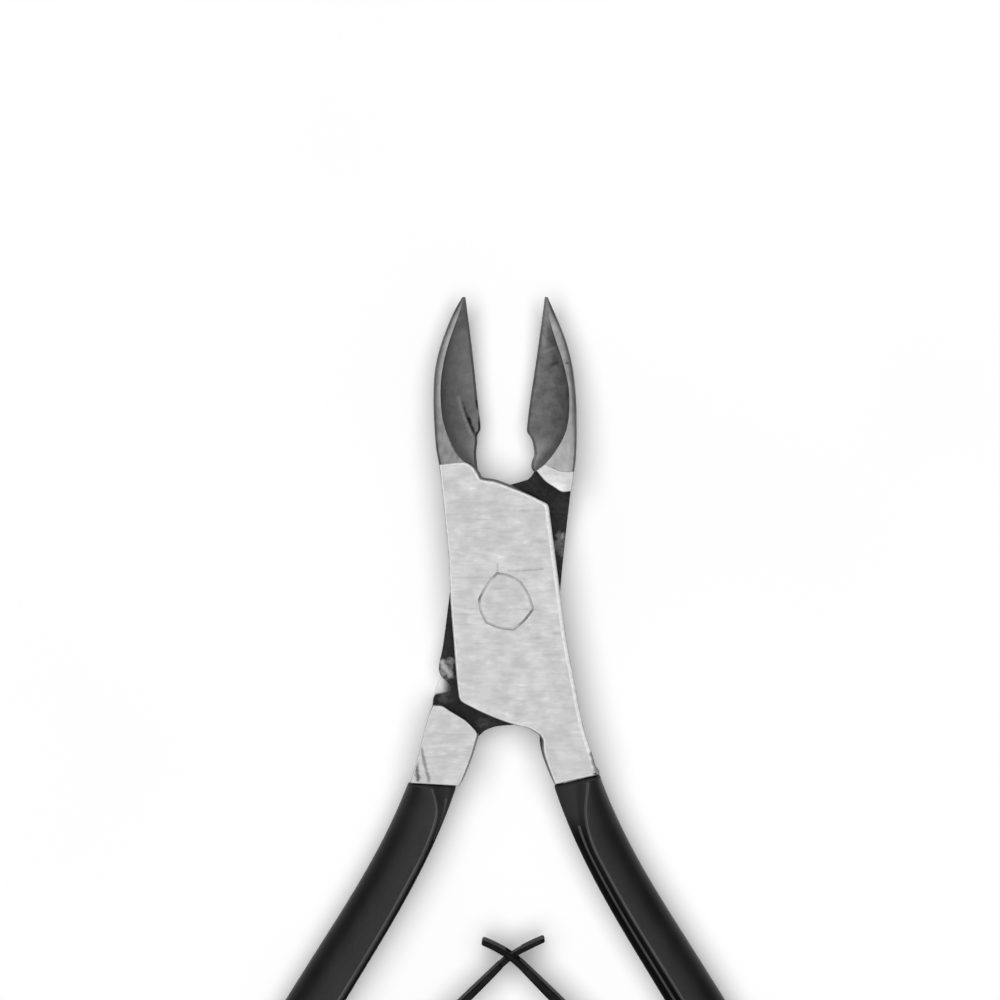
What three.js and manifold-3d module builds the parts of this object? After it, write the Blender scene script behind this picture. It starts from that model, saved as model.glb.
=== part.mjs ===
// Cuticle nipper: a lap-jointed pair of steel halves with hollow-ground jaws, black vinyl grips and a
// crossed double leaf spring. Millimetres. The pivot axis is Z through the origin, the jaws point along +Y,
// the tool lies on its back face at z = 0, and it rests open, as its springs hold it.
//
// Each half is drawn once, as if closed, with its jaw on the -X side and its handle on the +X side. The
// front half is that drawing turned open about the pivot; the rear half is its mirror image turned open the
// other way.
import * as THREE from "three";
import { mergeVertices } from "three/addons/utils/BufferGeometryUtils.js";
import Module from "manifold-3d";

// ---- driving dimensions -----------------------------------------------------------------------------
const THICKNESS = 5.6; // face to face at the joint
const LAP_GAP = 0.1; // running gap between the two lap plates
const OPEN_ANGLE = THREE.MathUtils.degToRad(7.4); // each half is this far open at rest
const FIT_GAP = 0.06; // gap round the fixed pieces

const JAW_TIP_Y = 26.4;
const JAW_ROOT_Y = 12.4; // the ground face ends and the jaw begins here
const JAW_ROOT_X = -4.3; // outer side of the jaw root
const EDGE_X = -0.04; // cutting edge, just short of the middle
const HEEL_Y = 15.2; // lower end of the cutting edge
const TIP_WIDTH = 0.3;
const TIP_TOP_Z = 3.5; // front of the jaw at its tip
const TIP_BACK_Z = 2.6; // back of the jaw at its tip

const SCOOP_CENTRE = new THREE.Vector3(0, 18.35, 5.4); // the hollow is one ellipsoid cut through both jaws
const SCOOP_RADII = new THREE.Vector3(3.3, 7.4, 3.9);

const PLATE_X = 4.72; // free side of the lap plate
const REAR_ROOT_FULLNESS = 0.65; // the rear handle root is this much fuller at the crotch
const MOUTH_Y = -16.1; // the grips begin here

const RIVET_RADIUS = 1.9;
const RIVET_GAP = 0.1; // radial clearance of the turning half
const RIVET_HEAD_RADIUS = 2.49; // corner radius of the six-sided head, and radius of the round one
const RIVET_HEAD_DEPTH = 1.1;
const RIVET_HEAD_TURN = THREE.MathUtils.degToRad(41.5);

const HANDLE_WIDEST = new THREE.Vector2(16.2, -53.8); // centre line where the bow is widest
const HANDLE_END = new THREE.Vector2(8.8, -85);
// of the grip, evenly spaced from its mouth to its end
const HALF_WIDTHS = [2.02, 2.1, 2.2, 2.4, 2.5, 2.5, 2.4, 2.15];
const GRIP_WALL = 0.45;
const GRIP_ROUND = 1.15; // edge radius of the grip
const TANG_GAP = 0.08;

// The right spring near the crossing, at rest; the left one is its mirror image about the crossing.
const SPRING_CROSS = new THREE.Vector2(0.49, -30.27);
const SPRING_CROSS_ANGLE = THREE.MathUtils.degToRad(140);
const SPRING_BEND = new THREE.Vector2(1.57, -31.18); // the leaf runs straight to here
const SPRING_BEND_ANGLE = THREE.MathUtils.degToRad(135);
const SPRING_TIP_CORNER = new THREE.Vector2(0.24, -29.85); // where the leaf turns towards its tip
const SPRING_TIP = new THREE.Vector2(-2, -28.95);
const SPRING_WIDTH = 3.4; // along the pivot axis
const SPRING_FOOT_LENGTH = 6.5;
const SPRING_FOOT_Y = -66; // lower end of the foot, on the closed handle
const SPRING_FOOT_BEND = 1.1; // each side of the bend between the foot and the leaf
const SPRING_ROOT_ANGLE = THREE.MathUtils.degToRad(113); // in which the leaf leaves the foot, at rest
const SPRING_SPLIT = 0.15; // share of the leaf that stays with the foot
const SPRING_SPLIT_GAP = 0.3;
const FORK_THICKNESS = 0.82; // right spring, with the window
const TONGUE_THICKNESS = 0.68; // left spring, with the tongue
const WINDOW_WIDTH = 1.9;
const WINDOW_LENGTH = 2.4;
const TONGUE_WIDTH = 1.4;
const TONGUE_NECK = 3.0; // length of the narrow part
const FOOT_GAP = 0.08; // between the foot and the tang
const POCKET_GAP = 0.3; // round the foot in the grip
const POCKET_OVERRUN = 2.6; // above the foot, where the leaf bends away

const SCREW_RADIUS = 0.75;
const SCREW_HEAD_RADIUS = 1.35;
const SCREW_HEAD_HEIGHT = 0.8;
const SCREW_DEPTH = 2.4; // into the tang
const SCREW_HOLE_GAP = 0.12;

const MIDDLE_Z = THICKNESS / 2;
const TANG_INSET = GRIP_WALL + TANG_GAP;

// ---- materials --------------------------------------------------------------------------------------
const groundSteel = { color: 0xc9cacb, roughness: 0.38, metalness: 1 };
const rivetSteel = { color: 0xbfc0c2, roughness: 0.35, metalness: 1 };
const blackVinyl = { color: 0x1b1c1d, roughness: 0.42, metalness: 0 };
const blackSpring = { color: 0x17181a, roughness: 0.45, metalness: 0.6 };
const screwSteel = { color: 0x8d8f92, roughness: 0.4, metalness: 1 };

// ---- solids -----------------------------------------------------------------------------------------
const wasm = await Module();
wasm.setup();

function solid(geometry) {
  const bare = geometry.index ? geometry.toNonIndexed() : geometry.clone();
  bare.deleteAttribute("normal");
  bare.deleteAttribute("uv");
  const merged = mergeVertices(bare, 1e-4);
  return new wasm.Manifold(
    new wasm.Mesh({
      numProp: 3,
      vertProperties: merged.attributes.position.array,
      triVerts: new Uint32Array(merged.index.array),
    }),
  );
}

function geometryOf(shape) {
  const mesh = shape.getMesh();
  const geometry = new THREE.BufferGeometry();
  geometry.setAttribute("position", new THREE.BufferAttribute(mesh.vertProperties, mesh.numProp));
  geometry.setIndex(new THREE.BufferAttribute(mesh.triVerts, 1));
  geometry.computeVertexNormals();
  return geometry;
}

function part(name, shape, look) {
  const material = new THREE.MeshStandardMaterial({ ...look, flatShading: true });
  const mesh = new THREE.Mesh(geometryOf(shape), material);
  mesh.name = name;
  return mesh;
}

// A closed outline from runs of points: a run of two is a straight edge, and a longer run is a smooth curve.
function outline(...runs) {
  const shape = new THREE.Shape();
  runs.forEach((run, i) => {
    const [first, ...rest] = run.map(([x, y]) => new THREE.Vector2(x, y));
    if (i === 0) shape.moveTo(first.x, first.y);
    else shape.lineTo(first.x, first.y);
    if (rest.length === 1) shape.lineTo(rest[0].x, rest[0].y);
    else if (rest.length > 1) shape.splineThru(rest);
  });
  return shape;
}

// A prism of the shape between two heights, its edges rounded by `round`.
function prism(shape, low, high, round = 0, curveSegments = 3) {
  const geometry = new THREE.ExtrudeGeometry(shape, {
    depth: high - low - 2 * round,
    curveSegments,
    bevelEnabled: round > 0,
    bevelThickness: round,
    bevelSize: round,
    bevelOffset: -round,
    bevelSegments: 2,
  });
  geometry.translate(0, 0, low + round);
  return solid(geometry);
}

function box(low, high) {
  const size = new THREE.Vector3().subVectors(high, low);
  const centre = new THREE.Vector3().addVectors(low, high).divideScalar(2);
  return solid(new THREE.BoxGeometry(size.x, size.y, size.z).translate(centre.x, centre.y, centre.z));
}

// A box centred on a point of the XY plane and turned by an angle there, with its length along that angle.
function turnedBox(centre, angle, length, across, lowZ, highZ) {
  const geometry = new THREE.BoxGeometry(length, across, highZ - lowZ);
  geometry.rotateZ(angle).translate(centre.x, centre.y, (lowZ + highZ) / 2);
  return solid(geometry);
}

// An upright cylinder between two heights on the pivot axis.
function pivotCylinder(radius, low, high, sides = 40) {
  const geometry = new THREE.CylinderGeometry(radius, radius, high - low, sides);
  geometry.rotateX(Math.PI / 2).translate(0, 0, (low + high) / 2);
  return solid(geometry);
}

// ---- the steel halves -------------------------------------------------------------------------------
// Corners that the lap plate shares with the full-thickness roots at its two ends.
const JAW_SHOULDER = [-4.24, 10.2];
const JAW_BELLY = [-1.92, 23.9]; // where the jaw's outer side turns in towards its tip
const THROAT = [-1, 11.5]; // the lower end of the jaw's inner side
const HANDLE_SHOULDER = [5, -9.55];

// The free side of the lap plate, down to the shoulder. The rear plate has a notch above the shoulder.
function freeSide(isFront) {
  const top = [PLATE_X + 0.06, 7.5];
  if (isFront) return [[top, [PLATE_X, 1], [PLATE_X, -4], HANDLE_SHOULDER]];
  const [notchTop, notchEnd] = [[4.67, -6.98], [4.14, -8.39]];
  return [
    [top, [PLATE_X, 1], [PLATE_X, -4], notchTop],
    [notchTop, [4.08, -7.51], [3.92, -8.1], notchEnd],
    [notchEnd, [4.81, -8.56], [5.01, -9], HANDLE_SHOULDER],
  ];
}

// The lap plate. Its two ends run on inside the roots of the jaw and the handle.
function lapPlateOutline(isFront) {
  return outline(
    [[-1.7, 11.6], [-1.05, 11.62]],
    [[-1.05, 11.62], [-0.9, 11.15], [-0.6, 10.75]],
    [[-0.6, 10.75], [1.75, 9.7], [3.5, 8.8], [4.4, 8.2], [PLATE_X + 0.06, 7.5]],
    ...freeSide(isFront),
    [HANDLE_SHOULDER, [4.4, -11.2]],
    [[4.4, -11.2], [2.2, -12]],
    [[2.2, -12], [1.5, -11.65]],
    [[1.5, -11.65], [0.4, -10.9], [-2, -9.85], [-4, -8.65], [-4.85, -8.05]],
    [[-4.85, -8.05], [-4.98, -7.4]],
    [[-4.98, -7.4], [-4.8, -2.5], [-4.5, 3], JAW_SHOULDER],
    [JAW_SHOULDER, [-3.4, 11]],
  );
}

// The full-thickness jaw with its root. Its lower edge is the shoulder that the other half's plate stops
// short of.
function jawOutline() {
  return outline(
    [JAW_SHOULDER, [JAW_ROOT_X, JAW_ROOT_Y], [-4.25, 14.2], [-4, 16.8], [-3.6, 19.2], [-3, 21.5], JAW_BELLY],
    [JAW_BELLY, [-0.9, 25.5], [-TIP_WIDTH, JAW_TIP_Y]],
    [[-TIP_WIDTH, JAW_TIP_Y], [EDGE_X, JAW_TIP_Y - 0.1]],
    [[EDGE_X, JAW_TIP_Y - 0.1], [EDGE_X, HEEL_Y + 0.3]],
    [[EDGE_X, HEEL_Y + 0.3], [-0.2, HEEL_Y - 0.1], [-0.5, 14.5], [-0.8, 13.3], [-0.95, JAW_ROOT_Y], THROAT],
    [THROAT, [-2.04, 10.8], [-2.97, 10.32], [-3.6, 10.05], JAW_SHOULDER],
  );
}

// The full-thickness handle root, with the shoulder at its upper end. The crotch side of the rear half is
// fuller.
function handleRootOutline(fullness) {
  return outline(
    [HANDLE_SHOULDER, [4.25, -9.53], [3.5, -9.87], [2.3, -10.45]],
    [[2.3, -10.45], [1.66 - fullness / 2, -10.85], [1.5 - fullness, -11.65], [1.66 - fullness, -12.9]],
    [[1.66 - fullness, -12.9], [2.2 - fullness / 2, MOUTH_Y]],
    [[2.2 - fullness / 2, MOUTH_Y], [6, MOUTH_Y]],
    [[6, MOUTH_Y], [5.9, -14.6], [5.35, -12.2], HANDLE_SHOULDER],
  );
}

// A prism across the jaws of a shape drawn in the plane of Y and Z.
function acrossJaws(shape) {
  const reach = 8;
  const options = { depth: 2 * reach, bevelEnabled: false, curveSegments: 3 };
  const geometry = new THREE.ExtrudeGeometry(shape, options);
  geometry.translate(0, 0, -reach);
  const [x, y, z] = [new THREE.Vector3(1, 0, 0), new THREE.Vector3(0, 1, 0), new THREE.Vector3(0, 0, 1)];
  geometry.applyMatrix4(new THREE.Matrix4().makeBasis(y, z, x));
  return solid(geometry);
}

// What the taper of the jaw takes off its front face and off its back face.
function frontTaper() {
  const clear = THICKNESS + 3;
  return acrossJaws(
    outline(
      [[JAW_ROOT_Y, THICKNESS], [14, 5.42], [18, 4.72], [23, 3.9], [JAW_TIP_Y + 1, TIP_TOP_Z - 0.1]],
      [[JAW_TIP_Y + 1, TIP_TOP_Z - 0.1], [JAW_TIP_Y + 1, clear]],
      [[JAW_TIP_Y + 1, clear], [JAW_ROOT_Y, clear]],
    ),
  );
}

function backTaper() {
  return acrossJaws(
    outline(
      [[JAW_ROOT_Y, 0], [16.5, 0.75], [20, 1.15], [23, 1.75], [JAW_TIP_Y + 1, TIP_BACK_Z + 0.3]],
      [[JAW_TIP_Y + 1, TIP_BACK_Z + 0.3], [JAW_TIP_Y + 1, -3]],
      [[JAW_TIP_Y + 1, -3], [JAW_ROOT_Y, -3]],
    ),
  );
}

function scoop() {
  const geometry = new THREE.SphereGeometry(1, 32, 20);
  geometry.rotateX(Math.PI / 2);
  geometry.scale(SCOOP_RADII.x, SCOOP_RADII.y, SCOOP_RADII.z);
  geometry.translate(SCOOP_CENTRE.x, SCOOP_CENTRE.y, SCOOP_CENTRE.z);
  return solid(geometry);
}

// ---- handles and grips ------------------------------------------------------------------------------
// The handle's centre line, closed, from the mouth of the grip to its end.
const handleLine = new THREE.CurvePath();
handleLine.add(
  new THREE.CubicBezierCurve(
    new THREE.Vector2(4.15, MOUTH_Y),
    new THREE.Vector2(6.9, -29.9),
    new THREE.Vector2(HANDLE_WIDEST.x, -39.9),
    HANDLE_WIDEST,
  ),
);
handleLine.add(
  new THREE.CubicBezierCurve(
    HANDLE_WIDEST,
    new THREE.Vector2(HANDLE_WIDEST.x, -65),
    new THREE.Vector2(12.6, -75.5),
    HANDLE_END,
  ),
);

function handleHalfWidth(share) {
  const place = THREE.MathUtils.clamp(share, 0, 1) * (HALF_WIDTHS.length - 1);
  const before = Math.min(Math.floor(place), HALF_WIDTHS.length - 2);
  return THREE.MathUtils.lerp(HALF_WIDTHS[before], HALF_WIDTHS[before + 1], place - before);
}

// The point of the handle at a share of its length, moved `offset` to the outer side, and its direction.
function handlePoint(share, offset = 0) {
  const point = handleLine.getPointAt(THREE.MathUtils.clamp(share, 0, 1));
  const along = handleLine.getTangentAt(THREE.MathUtils.clamp(share, 0, 1));
  const outward = new THREE.Vector2(-along.y, along.x);
  return { point: point.clone().addScaledVector(outward, offset), along, outward };
}

// The handle's outline, drawn in by `inset`, starting `overrun` above the mouth and with a round end.
function handleOutline(inset, overrun) {
  const steps = 22;
  const outer = [];
  const inner = [];
  for (let i = 0; i <= steps; i++) {
    const share = i / steps;
    const half = handleHalfWidth(share) - inset;
    outer.push(handlePoint(share, half).point);
    inner.push(handlePoint(share, -half).point);
  }
  const top = handlePoint(0).along.clone().multiplyScalar(-overrun);
  const end = handlePoint(1);
  const endHalf = handleHalfWidth(1) - inset;
  const cap = [];
  for (let i = 1; i < 8; i++) {
    const turn = (Math.PI * i) / 8;
    cap.push(
      end.point
        .clone()
        .addScaledVector(end.outward, endHalf * Math.cos(turn))
        .addScaledVector(end.along, endHalf * Math.sin(turn)),
    );
  }
  return new THREE.Shape([
    outer[0].clone().add(top),
    ...outer,
    ...cap,
    ...inner.reverse(),
    inner[inner.length - 1].clone().add(top),
  ]);
}

function tang() {
  const rounding = GRIP_ROUND - TANG_INSET;
  const body = prism(handleOutline(TANG_INSET, 2), TANG_INSET, THICKNESS - TANG_INSET, rounding);
  return body.subtract(box(new THREE.Vector3(-20, MOUTH_Y + 0.5, -9), new THREE.Vector3(20, 0, 20)));
}

// ---- springs ----------------------------------------------------------------------------------------
// Turns a point or direction of the resting tool into the drawing of the closed half.
function closed(vector) {
  return vector.clone().rotateAround(new THREE.Vector2(), -OPEN_ANGLE);
}

function direction(angle) {
  return new THREE.Vector2(Math.cos(angle), Math.sin(angle));
}

// Share of the handle's length at a height of its centre line.
function shareAtY(y) {
  let [low, high] = [0, 1];
  for (let i = 0; i < 30; i++) {
    const middle = (low + high) / 2;
    if (handleLine.getPointAt(middle).y > y) low = middle;
    else high = middle;
  }
  return low;
}

// The springs' middle lines on the closed half: the foot along the tang, the bend out of it, the leaf and
// its tip. `side` is 1 for the right spring and -1 for the left one.
function springLines(side, thickness) {
  const handleLength = handleLine.getLength();
  const footLow = shareAtY(SPRING_FOOT_Y);
  const footHigh = footLow - SPRING_FOOT_LENGTH / handleLength;
  const lift = thickness / 2 + FOOT_GAP - TANG_INSET;
  const footAt = (share) => handlePoint(share, -handleHalfWidth(share) - lift).point;
  const foot = [0, 0.25, 0.5, 0.75, 1].map((t) => footAt(THREE.MathUtils.lerp(footLow, footHigh, t)));
  const footDirection = handlePoint(footHigh).along.clone().negate();
  const footTop = foot[foot.length - 1];

  // mirroring about the crossing and then about the middle of the tool is a shift
  const shift = side > 0 ? 0 : -2 * SPRING_CROSS.x;
  const onSpring = (point) => closed(new THREE.Vector2(point.x + shift, point.y));
  const leafEnd = onSpring(SPRING_BEND);
  const rootDirection = closed(direction(SPRING_ROOT_ANGLE));
  const endDirection = closed(direction(SPRING_BEND_ANGLE));
  const corner = footTop.clone().addScaledVector(footDirection, SPRING_FOOT_BEND);
  const root = corner.clone().addScaledVector(rootDirection, SPRING_FOOT_BEND);
  const bend = new THREE.QuadraticBezierCurve(footTop, corner, root);
  const reach = root.distanceTo(leafEnd);
  const leaf = new THREE.CubicBezierCurve(
    root,
    root.clone().addScaledVector(rootDirection, 0.3 * reach),
    leafEnd.clone().addScaledVector(endDirection, -0.36 * reach),
    leafEnd,
  );
  const tip = new THREE.QuadraticBezierCurve(leafEnd, onSpring(SPRING_TIP_CORNER), onSpring(SPRING_TIP));
  return { foot, bend, leaf, tip, cross: onSpring(SPRING_CROSS), footMiddle: foot[2], footDirection };
}

// A strip of one thickness along a line of points, standing SPRING_WIDTH wide about the middle plane.
function strip(points, thickness) {
  const sides = [[], []];
  points.forEach((point, i) => {
    const before = points[Math.max(0, i - 1)];
    const after = points[Math.min(points.length - 1, i + 1)];
    const along = new THREE.Vector2().subVectors(after, before).normalize();
    const across = new THREE.Vector2(-along.y, along.x).multiplyScalar(thickness / 2);
    sides[0].push(point.clone().add(across));
    sides[1].push(point.clone().sub(across));
  });
  const shape = new THREE.Shape([...sides[0], ...sides[1].reverse()]);
  return prism(shape, MIDDLE_Z - SPRING_WIDTH / 2, MIDDLE_Z + SPRING_WIDTH / 2);
}

function curvePoints(curve, from, to, count) {
  return Array.from({ length: count }, (_, i) => curve.getPointAt(from + ((to - from) * i) / (count - 1)));
}

function springRoot(lines, thickness) {
  const line = [
    ...lines.foot,
    ...curvePoints(lines.bend, 0.25, 0.75, 3),
    ...curvePoints(lines.leaf, 0, SPRING_SPLIT, 5),
  ];
  return strip(line, thickness).subtract(screwShaft(lines, SCREW_RADIUS + SCREW_HOLE_GAP));
}

function springLeaf(lines, thickness) {
  const start = SPRING_SPLIT + SPRING_SPLIT_GAP / lines.leaf.getLength();
  return strip([...curvePoints(lines.leaf, start, 0.97, 12), ...curvePoints(lines.tip, 0, 1, 6)], thickness);
}

// The window in the right spring, through which the left spring's tongue passes.
function forkLeaf(lines) {
  const angle = SPRING_CROSS_ANGLE - OPEN_ANGLE;
  const half = WINDOW_WIDTH / 2;
  const window = turnedBox(lines.cross, angle, WINDOW_LENGTH, 3, MIDDLE_Z - half, MIDDLE_Z + half);
  return springLeaf(lines, FORK_THICKNESS).subtract(window);
}

// The left spring is waisted to a tongue at the crossing, and its full width beyond keeps it hooked in the
// window.
function tongueLeaf(lines) {
  const angle = SPRING_CROSS_ANGLE - OPEN_ANGLE;
  const half = TONGUE_WIDTH / 2;
  const below = turnedBox(lines.cross, angle, TONGUE_NECK, 3, -1, MIDDLE_Z - half);
  const above = turnedBox(lines.cross, angle, TONGUE_NECK, 3, MIDDLE_Z + half, THICKNESS + 1);
  return springLeaf(lines, TONGUE_THICKNESS).subtract(below).subtract(above);
}

// A round bar square to the foot, from the tang side to the inner side; `low` and `high` run from the
// tang's face.
function footCylinder(lines, radius, low, high, sides) {
  const inward = new THREE.Vector2(-lines.footDirection.y, lines.footDirection.x);
  const centre = lines.footMiddle.clone().addScaledVector(inward, (low + high) / 2);
  const geometry = new THREE.CylinderGeometry(radius, radius, high - low, sides);
  geometry.rotateZ(Math.atan2(inward.y, inward.x) - Math.PI / 2);
  geometry.translate(centre.x, centre.y, MIDDLE_Z);
  return solid(geometry);
}

function screwShaft(lines, radius) {
  return footCylinder(lines, radius, -SCREW_DEPTH - 0.5, 2, 20);
}

function springScrew(lines, thickness) {
  const shaft = footCylinder(lines, SCREW_RADIUS, -SCREW_DEPTH, thickness / 2 + FIT_GAP + 0.2, 20);
  const headLow = thickness / 2 + FIT_GAP;
  const head = footCylinder(lines, SCREW_HEAD_RADIUS, headLow, headLow + SCREW_HEAD_HEIGHT, 24);
  const inward = new THREE.Vector2(-lines.footDirection.y, lines.footDirection.x);
  const slotCentre = lines.footMiddle.clone().addScaledVector(inward, headLow + SCREW_HEAD_HEIGHT);
  const slot = turnedBox(slotCentre, Math.atan2(inward.y, inward.x), 0.7, 0.45, 0, THICKNESS);
  return shaft.add(head).subtract(slot);
}

// ---- assembly of one half ---------------------------------------------------------------------------
function steelHalf(isFront, lines, thickness) {
  const lap = MIDDLE_Z + (isFront ? LAP_GAP / 2 : -LAP_GAP / 2);
  const plate = prism(lapPlateOutline(isFront), isFront ? lap : 0, isFront ? THICKNESS : lap);
  const jaw = prism(jawOutline(), 0, THICKNESS).subtract(frontTaper()).subtract(backTaper());
  const body = plate
    .add(jaw)
    .add(prism(handleRootOutline(isFront ? 0 : REAR_ROOT_FULLNESS), 0, THICKNESS))
    .add(tang())
    .subtract(scoop());
  const hole = isFront
    ? prism(hexagon(RIVET_HEAD_RADIUS + FIT_GAP), THICKNESS - RIVET_HEAD_DEPTH - FIT_GAP, THICKNESS + 1).add(
        pivotCylinder(RIVET_RADIUS + FIT_GAP, -1, THICKNESS + 1),
      )
    : pivotCylinder(RIVET_HEAD_RADIUS + RIVET_GAP, -1, RIVET_HEAD_DEPTH + RIVET_GAP).add(
        pivotCylinder(RIVET_RADIUS + RIVET_GAP, -1, THICKNESS + 1),
      );
  const screwHole = footCylinder(lines, SCREW_RADIUS + FIT_GAP, -SCREW_DEPTH - FIT_GAP, 2, 20);
  return body.subtract(hole).subtract(screwHole);
}

function hexagon(radius) {
  const corners = Array.from({ length: 6 }, (_, i) =>
    direction(RIVET_HEAD_TURN + (Math.PI / 3) * i).multiplyScalar(radius),
  );
  return new THREE.Shape(corners);
}

function pivotRivet() {
  return pivotCylinder(RIVET_RADIUS, 0.2, THICKNESS - 0.2)
    .add(prism(hexagon(RIVET_HEAD_RADIUS), THICKNESS - RIVET_HEAD_DEPTH, THICKNESS))
    .add(pivotCylinder(RIVET_HEAD_RADIUS, 0, RIVET_HEAD_DEPTH));
}

function grip(lines) {
  const skin = prism(handleOutline(0, 3), 0, THICKNESS, GRIP_ROUND);
  const hollow = prism(handleOutline(GRIP_WALL, 3), GRIP_WALL, THICKNESS - GRIP_WALL, GRIP_ROUND - GRIP_WALL);
  const aboveMouth = box(new THREE.Vector3(-20, MOUTH_Y - FIT_GAP, -9), new THREE.Vector3(20, 0, 20));
  const inward = new THREE.Vector2(-lines.footDirection.y, lines.footDirection.x);
  const angle = Math.atan2(lines.footDirection.y, lines.footDirection.x);
  const pocketCentre = lines.footMiddle
    .clone()
    .addScaledVector(inward, 0.8)
    .addScaledVector(lines.footDirection, POCKET_OVERRUN / 2 - POCKET_GAP / 2);
  const halfWidth = SPRING_WIDTH / 2 + POCKET_GAP;
  const pocketLength = SPRING_FOOT_LENGTH + POCKET_OVERRUN + POCKET_GAP;
  const pocket = turnedBox(pocketCentre, angle, pocketLength, 3, MIDDLE_Z - halfWidth, MIDDLE_Z + halfWidth);
  return skin.subtract(hollow).subtract(aboveMouth).subtract(pocket);
}

// side is 1 for the front half, whose handle is on the right, and -1 for the rear half.
function halfOf(side) {
  const isFront = side > 0;
  const thickness = isFront ? FORK_THICKNESS : TONGUE_THICKNESS;
  const lines = springLines(side, thickness);
  const hand = isFront ? "right" : "left";
  const group = new THREE.Group();
  group.rotation.z = side * OPEN_ANGLE;
  group.scale.x = side;
  group.add(part(isFront ? "front_half" : "rear_half", steelHalf(isFront, lines, thickness), groundSteel));
  group.add(part(hand + "_grip", grip(lines), blackVinyl));
  group.add(part(hand + "_spring_root", springRoot(lines, thickness), blackSpring));
  group.add(part(hand + "_spring_leaf", isFront ? forkLeaf(lines) : tongueLeaf(lines), blackSpring));
  group.add(part(hand + "_spring_screw", springScrew(lines, thickness), screwSteel));
  return group;
}

const frontHalf = halfOf(1);
frontHalf.add(part("pivot_rivet", pivotRivet(), rivetSteel));
const group = new THREE.Group();
group.add(frontHalf, halfOf(-1));

export default group;
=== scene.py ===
import math

import bmesh
import bpy
import numpy as np
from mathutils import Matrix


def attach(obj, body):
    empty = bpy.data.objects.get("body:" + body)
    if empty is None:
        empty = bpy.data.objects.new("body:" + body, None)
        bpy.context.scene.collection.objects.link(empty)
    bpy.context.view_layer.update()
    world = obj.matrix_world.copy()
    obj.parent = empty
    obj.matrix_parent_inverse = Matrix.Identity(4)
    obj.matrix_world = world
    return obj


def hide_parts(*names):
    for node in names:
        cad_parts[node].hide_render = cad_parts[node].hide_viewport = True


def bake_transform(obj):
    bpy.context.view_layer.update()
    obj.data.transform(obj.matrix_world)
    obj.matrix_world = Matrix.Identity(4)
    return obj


# A cuticle nipper. Lengths are in millimetres until a mesh is made, and MM turns them into metres.
# Each half is drawn closed, with its jaw on the -X side and its handle on the +X side. The front half
# (side 1) is that drawing turned open about the pivot, and the rear half (side -1) is its mirror image
# turned open the other way.
FRONT = 1
REAR = -1
HAND = {FRONT: "right", REAR: "left"}  # of the grip and the spring on that half
MM = 0.001
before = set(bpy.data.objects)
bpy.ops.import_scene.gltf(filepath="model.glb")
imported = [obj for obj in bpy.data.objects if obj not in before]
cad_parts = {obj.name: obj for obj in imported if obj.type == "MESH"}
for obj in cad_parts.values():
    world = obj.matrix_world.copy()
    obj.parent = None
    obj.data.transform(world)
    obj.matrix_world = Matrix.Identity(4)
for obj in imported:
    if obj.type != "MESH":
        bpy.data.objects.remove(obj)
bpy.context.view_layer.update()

# ---- dimensions ----------------------------------------------------------------------------------
THICKNESS = 5.6
MIDDLE = THICKNESS / 2
LAP_GAP = 0.1
OPEN_ANGLE = math.radians(7.4)
SPACING = 0.25  # of the points along a curve
ROUND_STEPS = 4  # rings of a rounded edge

EDGE_ROUND = 0.1  # of the steel's edges
HIDDEN_ROUND = 0.05  # of those on the lap faces
PLATE_BEVEL = 0.06  # along the front plate's edges
THROAT_BEVEL = 0.08  # more, at the throat
WIDE_BEVEL = 0.2  # more, along the free side
BEVEL_SLOPE = 0.25
THROAT_LIP = 0.2  # the front plate's wall stands out this far at the throat
CROTCH_LIP = 0.14
NOTCH_SHADOW_TOP = 0.35  # of the step inside the rear plate's notch, a low sheet that carries a painted shadow of the floor

RIVET_RADIUS = 1.9
RIVET_BACK_RADIUS = 2.49
RIVET_HEAD_DEPTH = 1.1
RIVET_CORNERS = ((-0.4, 2.76), (1.62, 1.69), (2.44, -0.91), (0.4, -2.55), (-1.97, -1.58), (-2.34, 0.62))
RIVET_BULGE = 0.1  # of each side of the six-sided head
RIVET_LINE = 0.004  # gap round the head
RIVET_BEVEL = 0.2  # of the head's edge
SHANK_TOP = THICKNESS - 0.5
BORE_GAP = 0.1

HANDLE_START = (4.15, -16.1)
HANDLE_WIDEST = (16.2, -53.8)
HANDLE_END = (8.8, -85.0)
HALF_WIDTHS = (2.02, 2.1, 2.2, 2.4, 2.5, 2.5, 2.4, 2.15)
TANG_INSET = 0.53
TANG_ROUND = 0.5
TANG_HEIGHT_INSET = 1.3
MOUTH_GAP = 0.12
MOUTH_ROUND = 0.3
GRIP_STEP = 0.5  # between the grip's rings
TANG_STEP = 1.0
HOLLOW_GAP = 0.08  # between the tang and the hollow of the grip

SPRING_CROSS = (0.49, -30.27)
SPRING_BEND = (1.57, -31.18)
SPRING_BEND_ANGLE = math.radians(135)
SPRING_CROSS_ANGLE = math.radians(140)
SPRING_TIP_CORNER = (0.24, -29.85)
SPRING_TIP = {FRONT: (-2.0, -28.95), REAR: (-2.4, -28.76)}
SPRING_ROOT_ANGLE = math.radians(113)
SPRING_FOOT_Y = -66.0
SPRING_FOOT_LENGTH = 6.5
SPRING_WIDTH = 3.4
SPRING_THICKNESS = {FRONT: 0.8, REAR: 0.62}
SPRING_TIP_SHARE = 0.6  # of the thickness is left at the tip
SPRING_TAPER = 9.0  # length that thins
SPRING_DROP = 0.42  # of the crossing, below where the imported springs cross
SPRING_ROUND = 0.16
SPRING_STEP = 0.3  # between the spring's rings
SPRING_END_ROUND = 0.12
LEAF_POINTS = 200
BLEND_POINT = 110  # of those, where the leaf wholly follows its own body
FOOT_GAP = 0.08
FOOT_BEND = 1.1
WINDOW_WIDTH = 2.6
WINDOW_LENGTH = 1.5
TONGUE_WIDTH = 2.2
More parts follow.
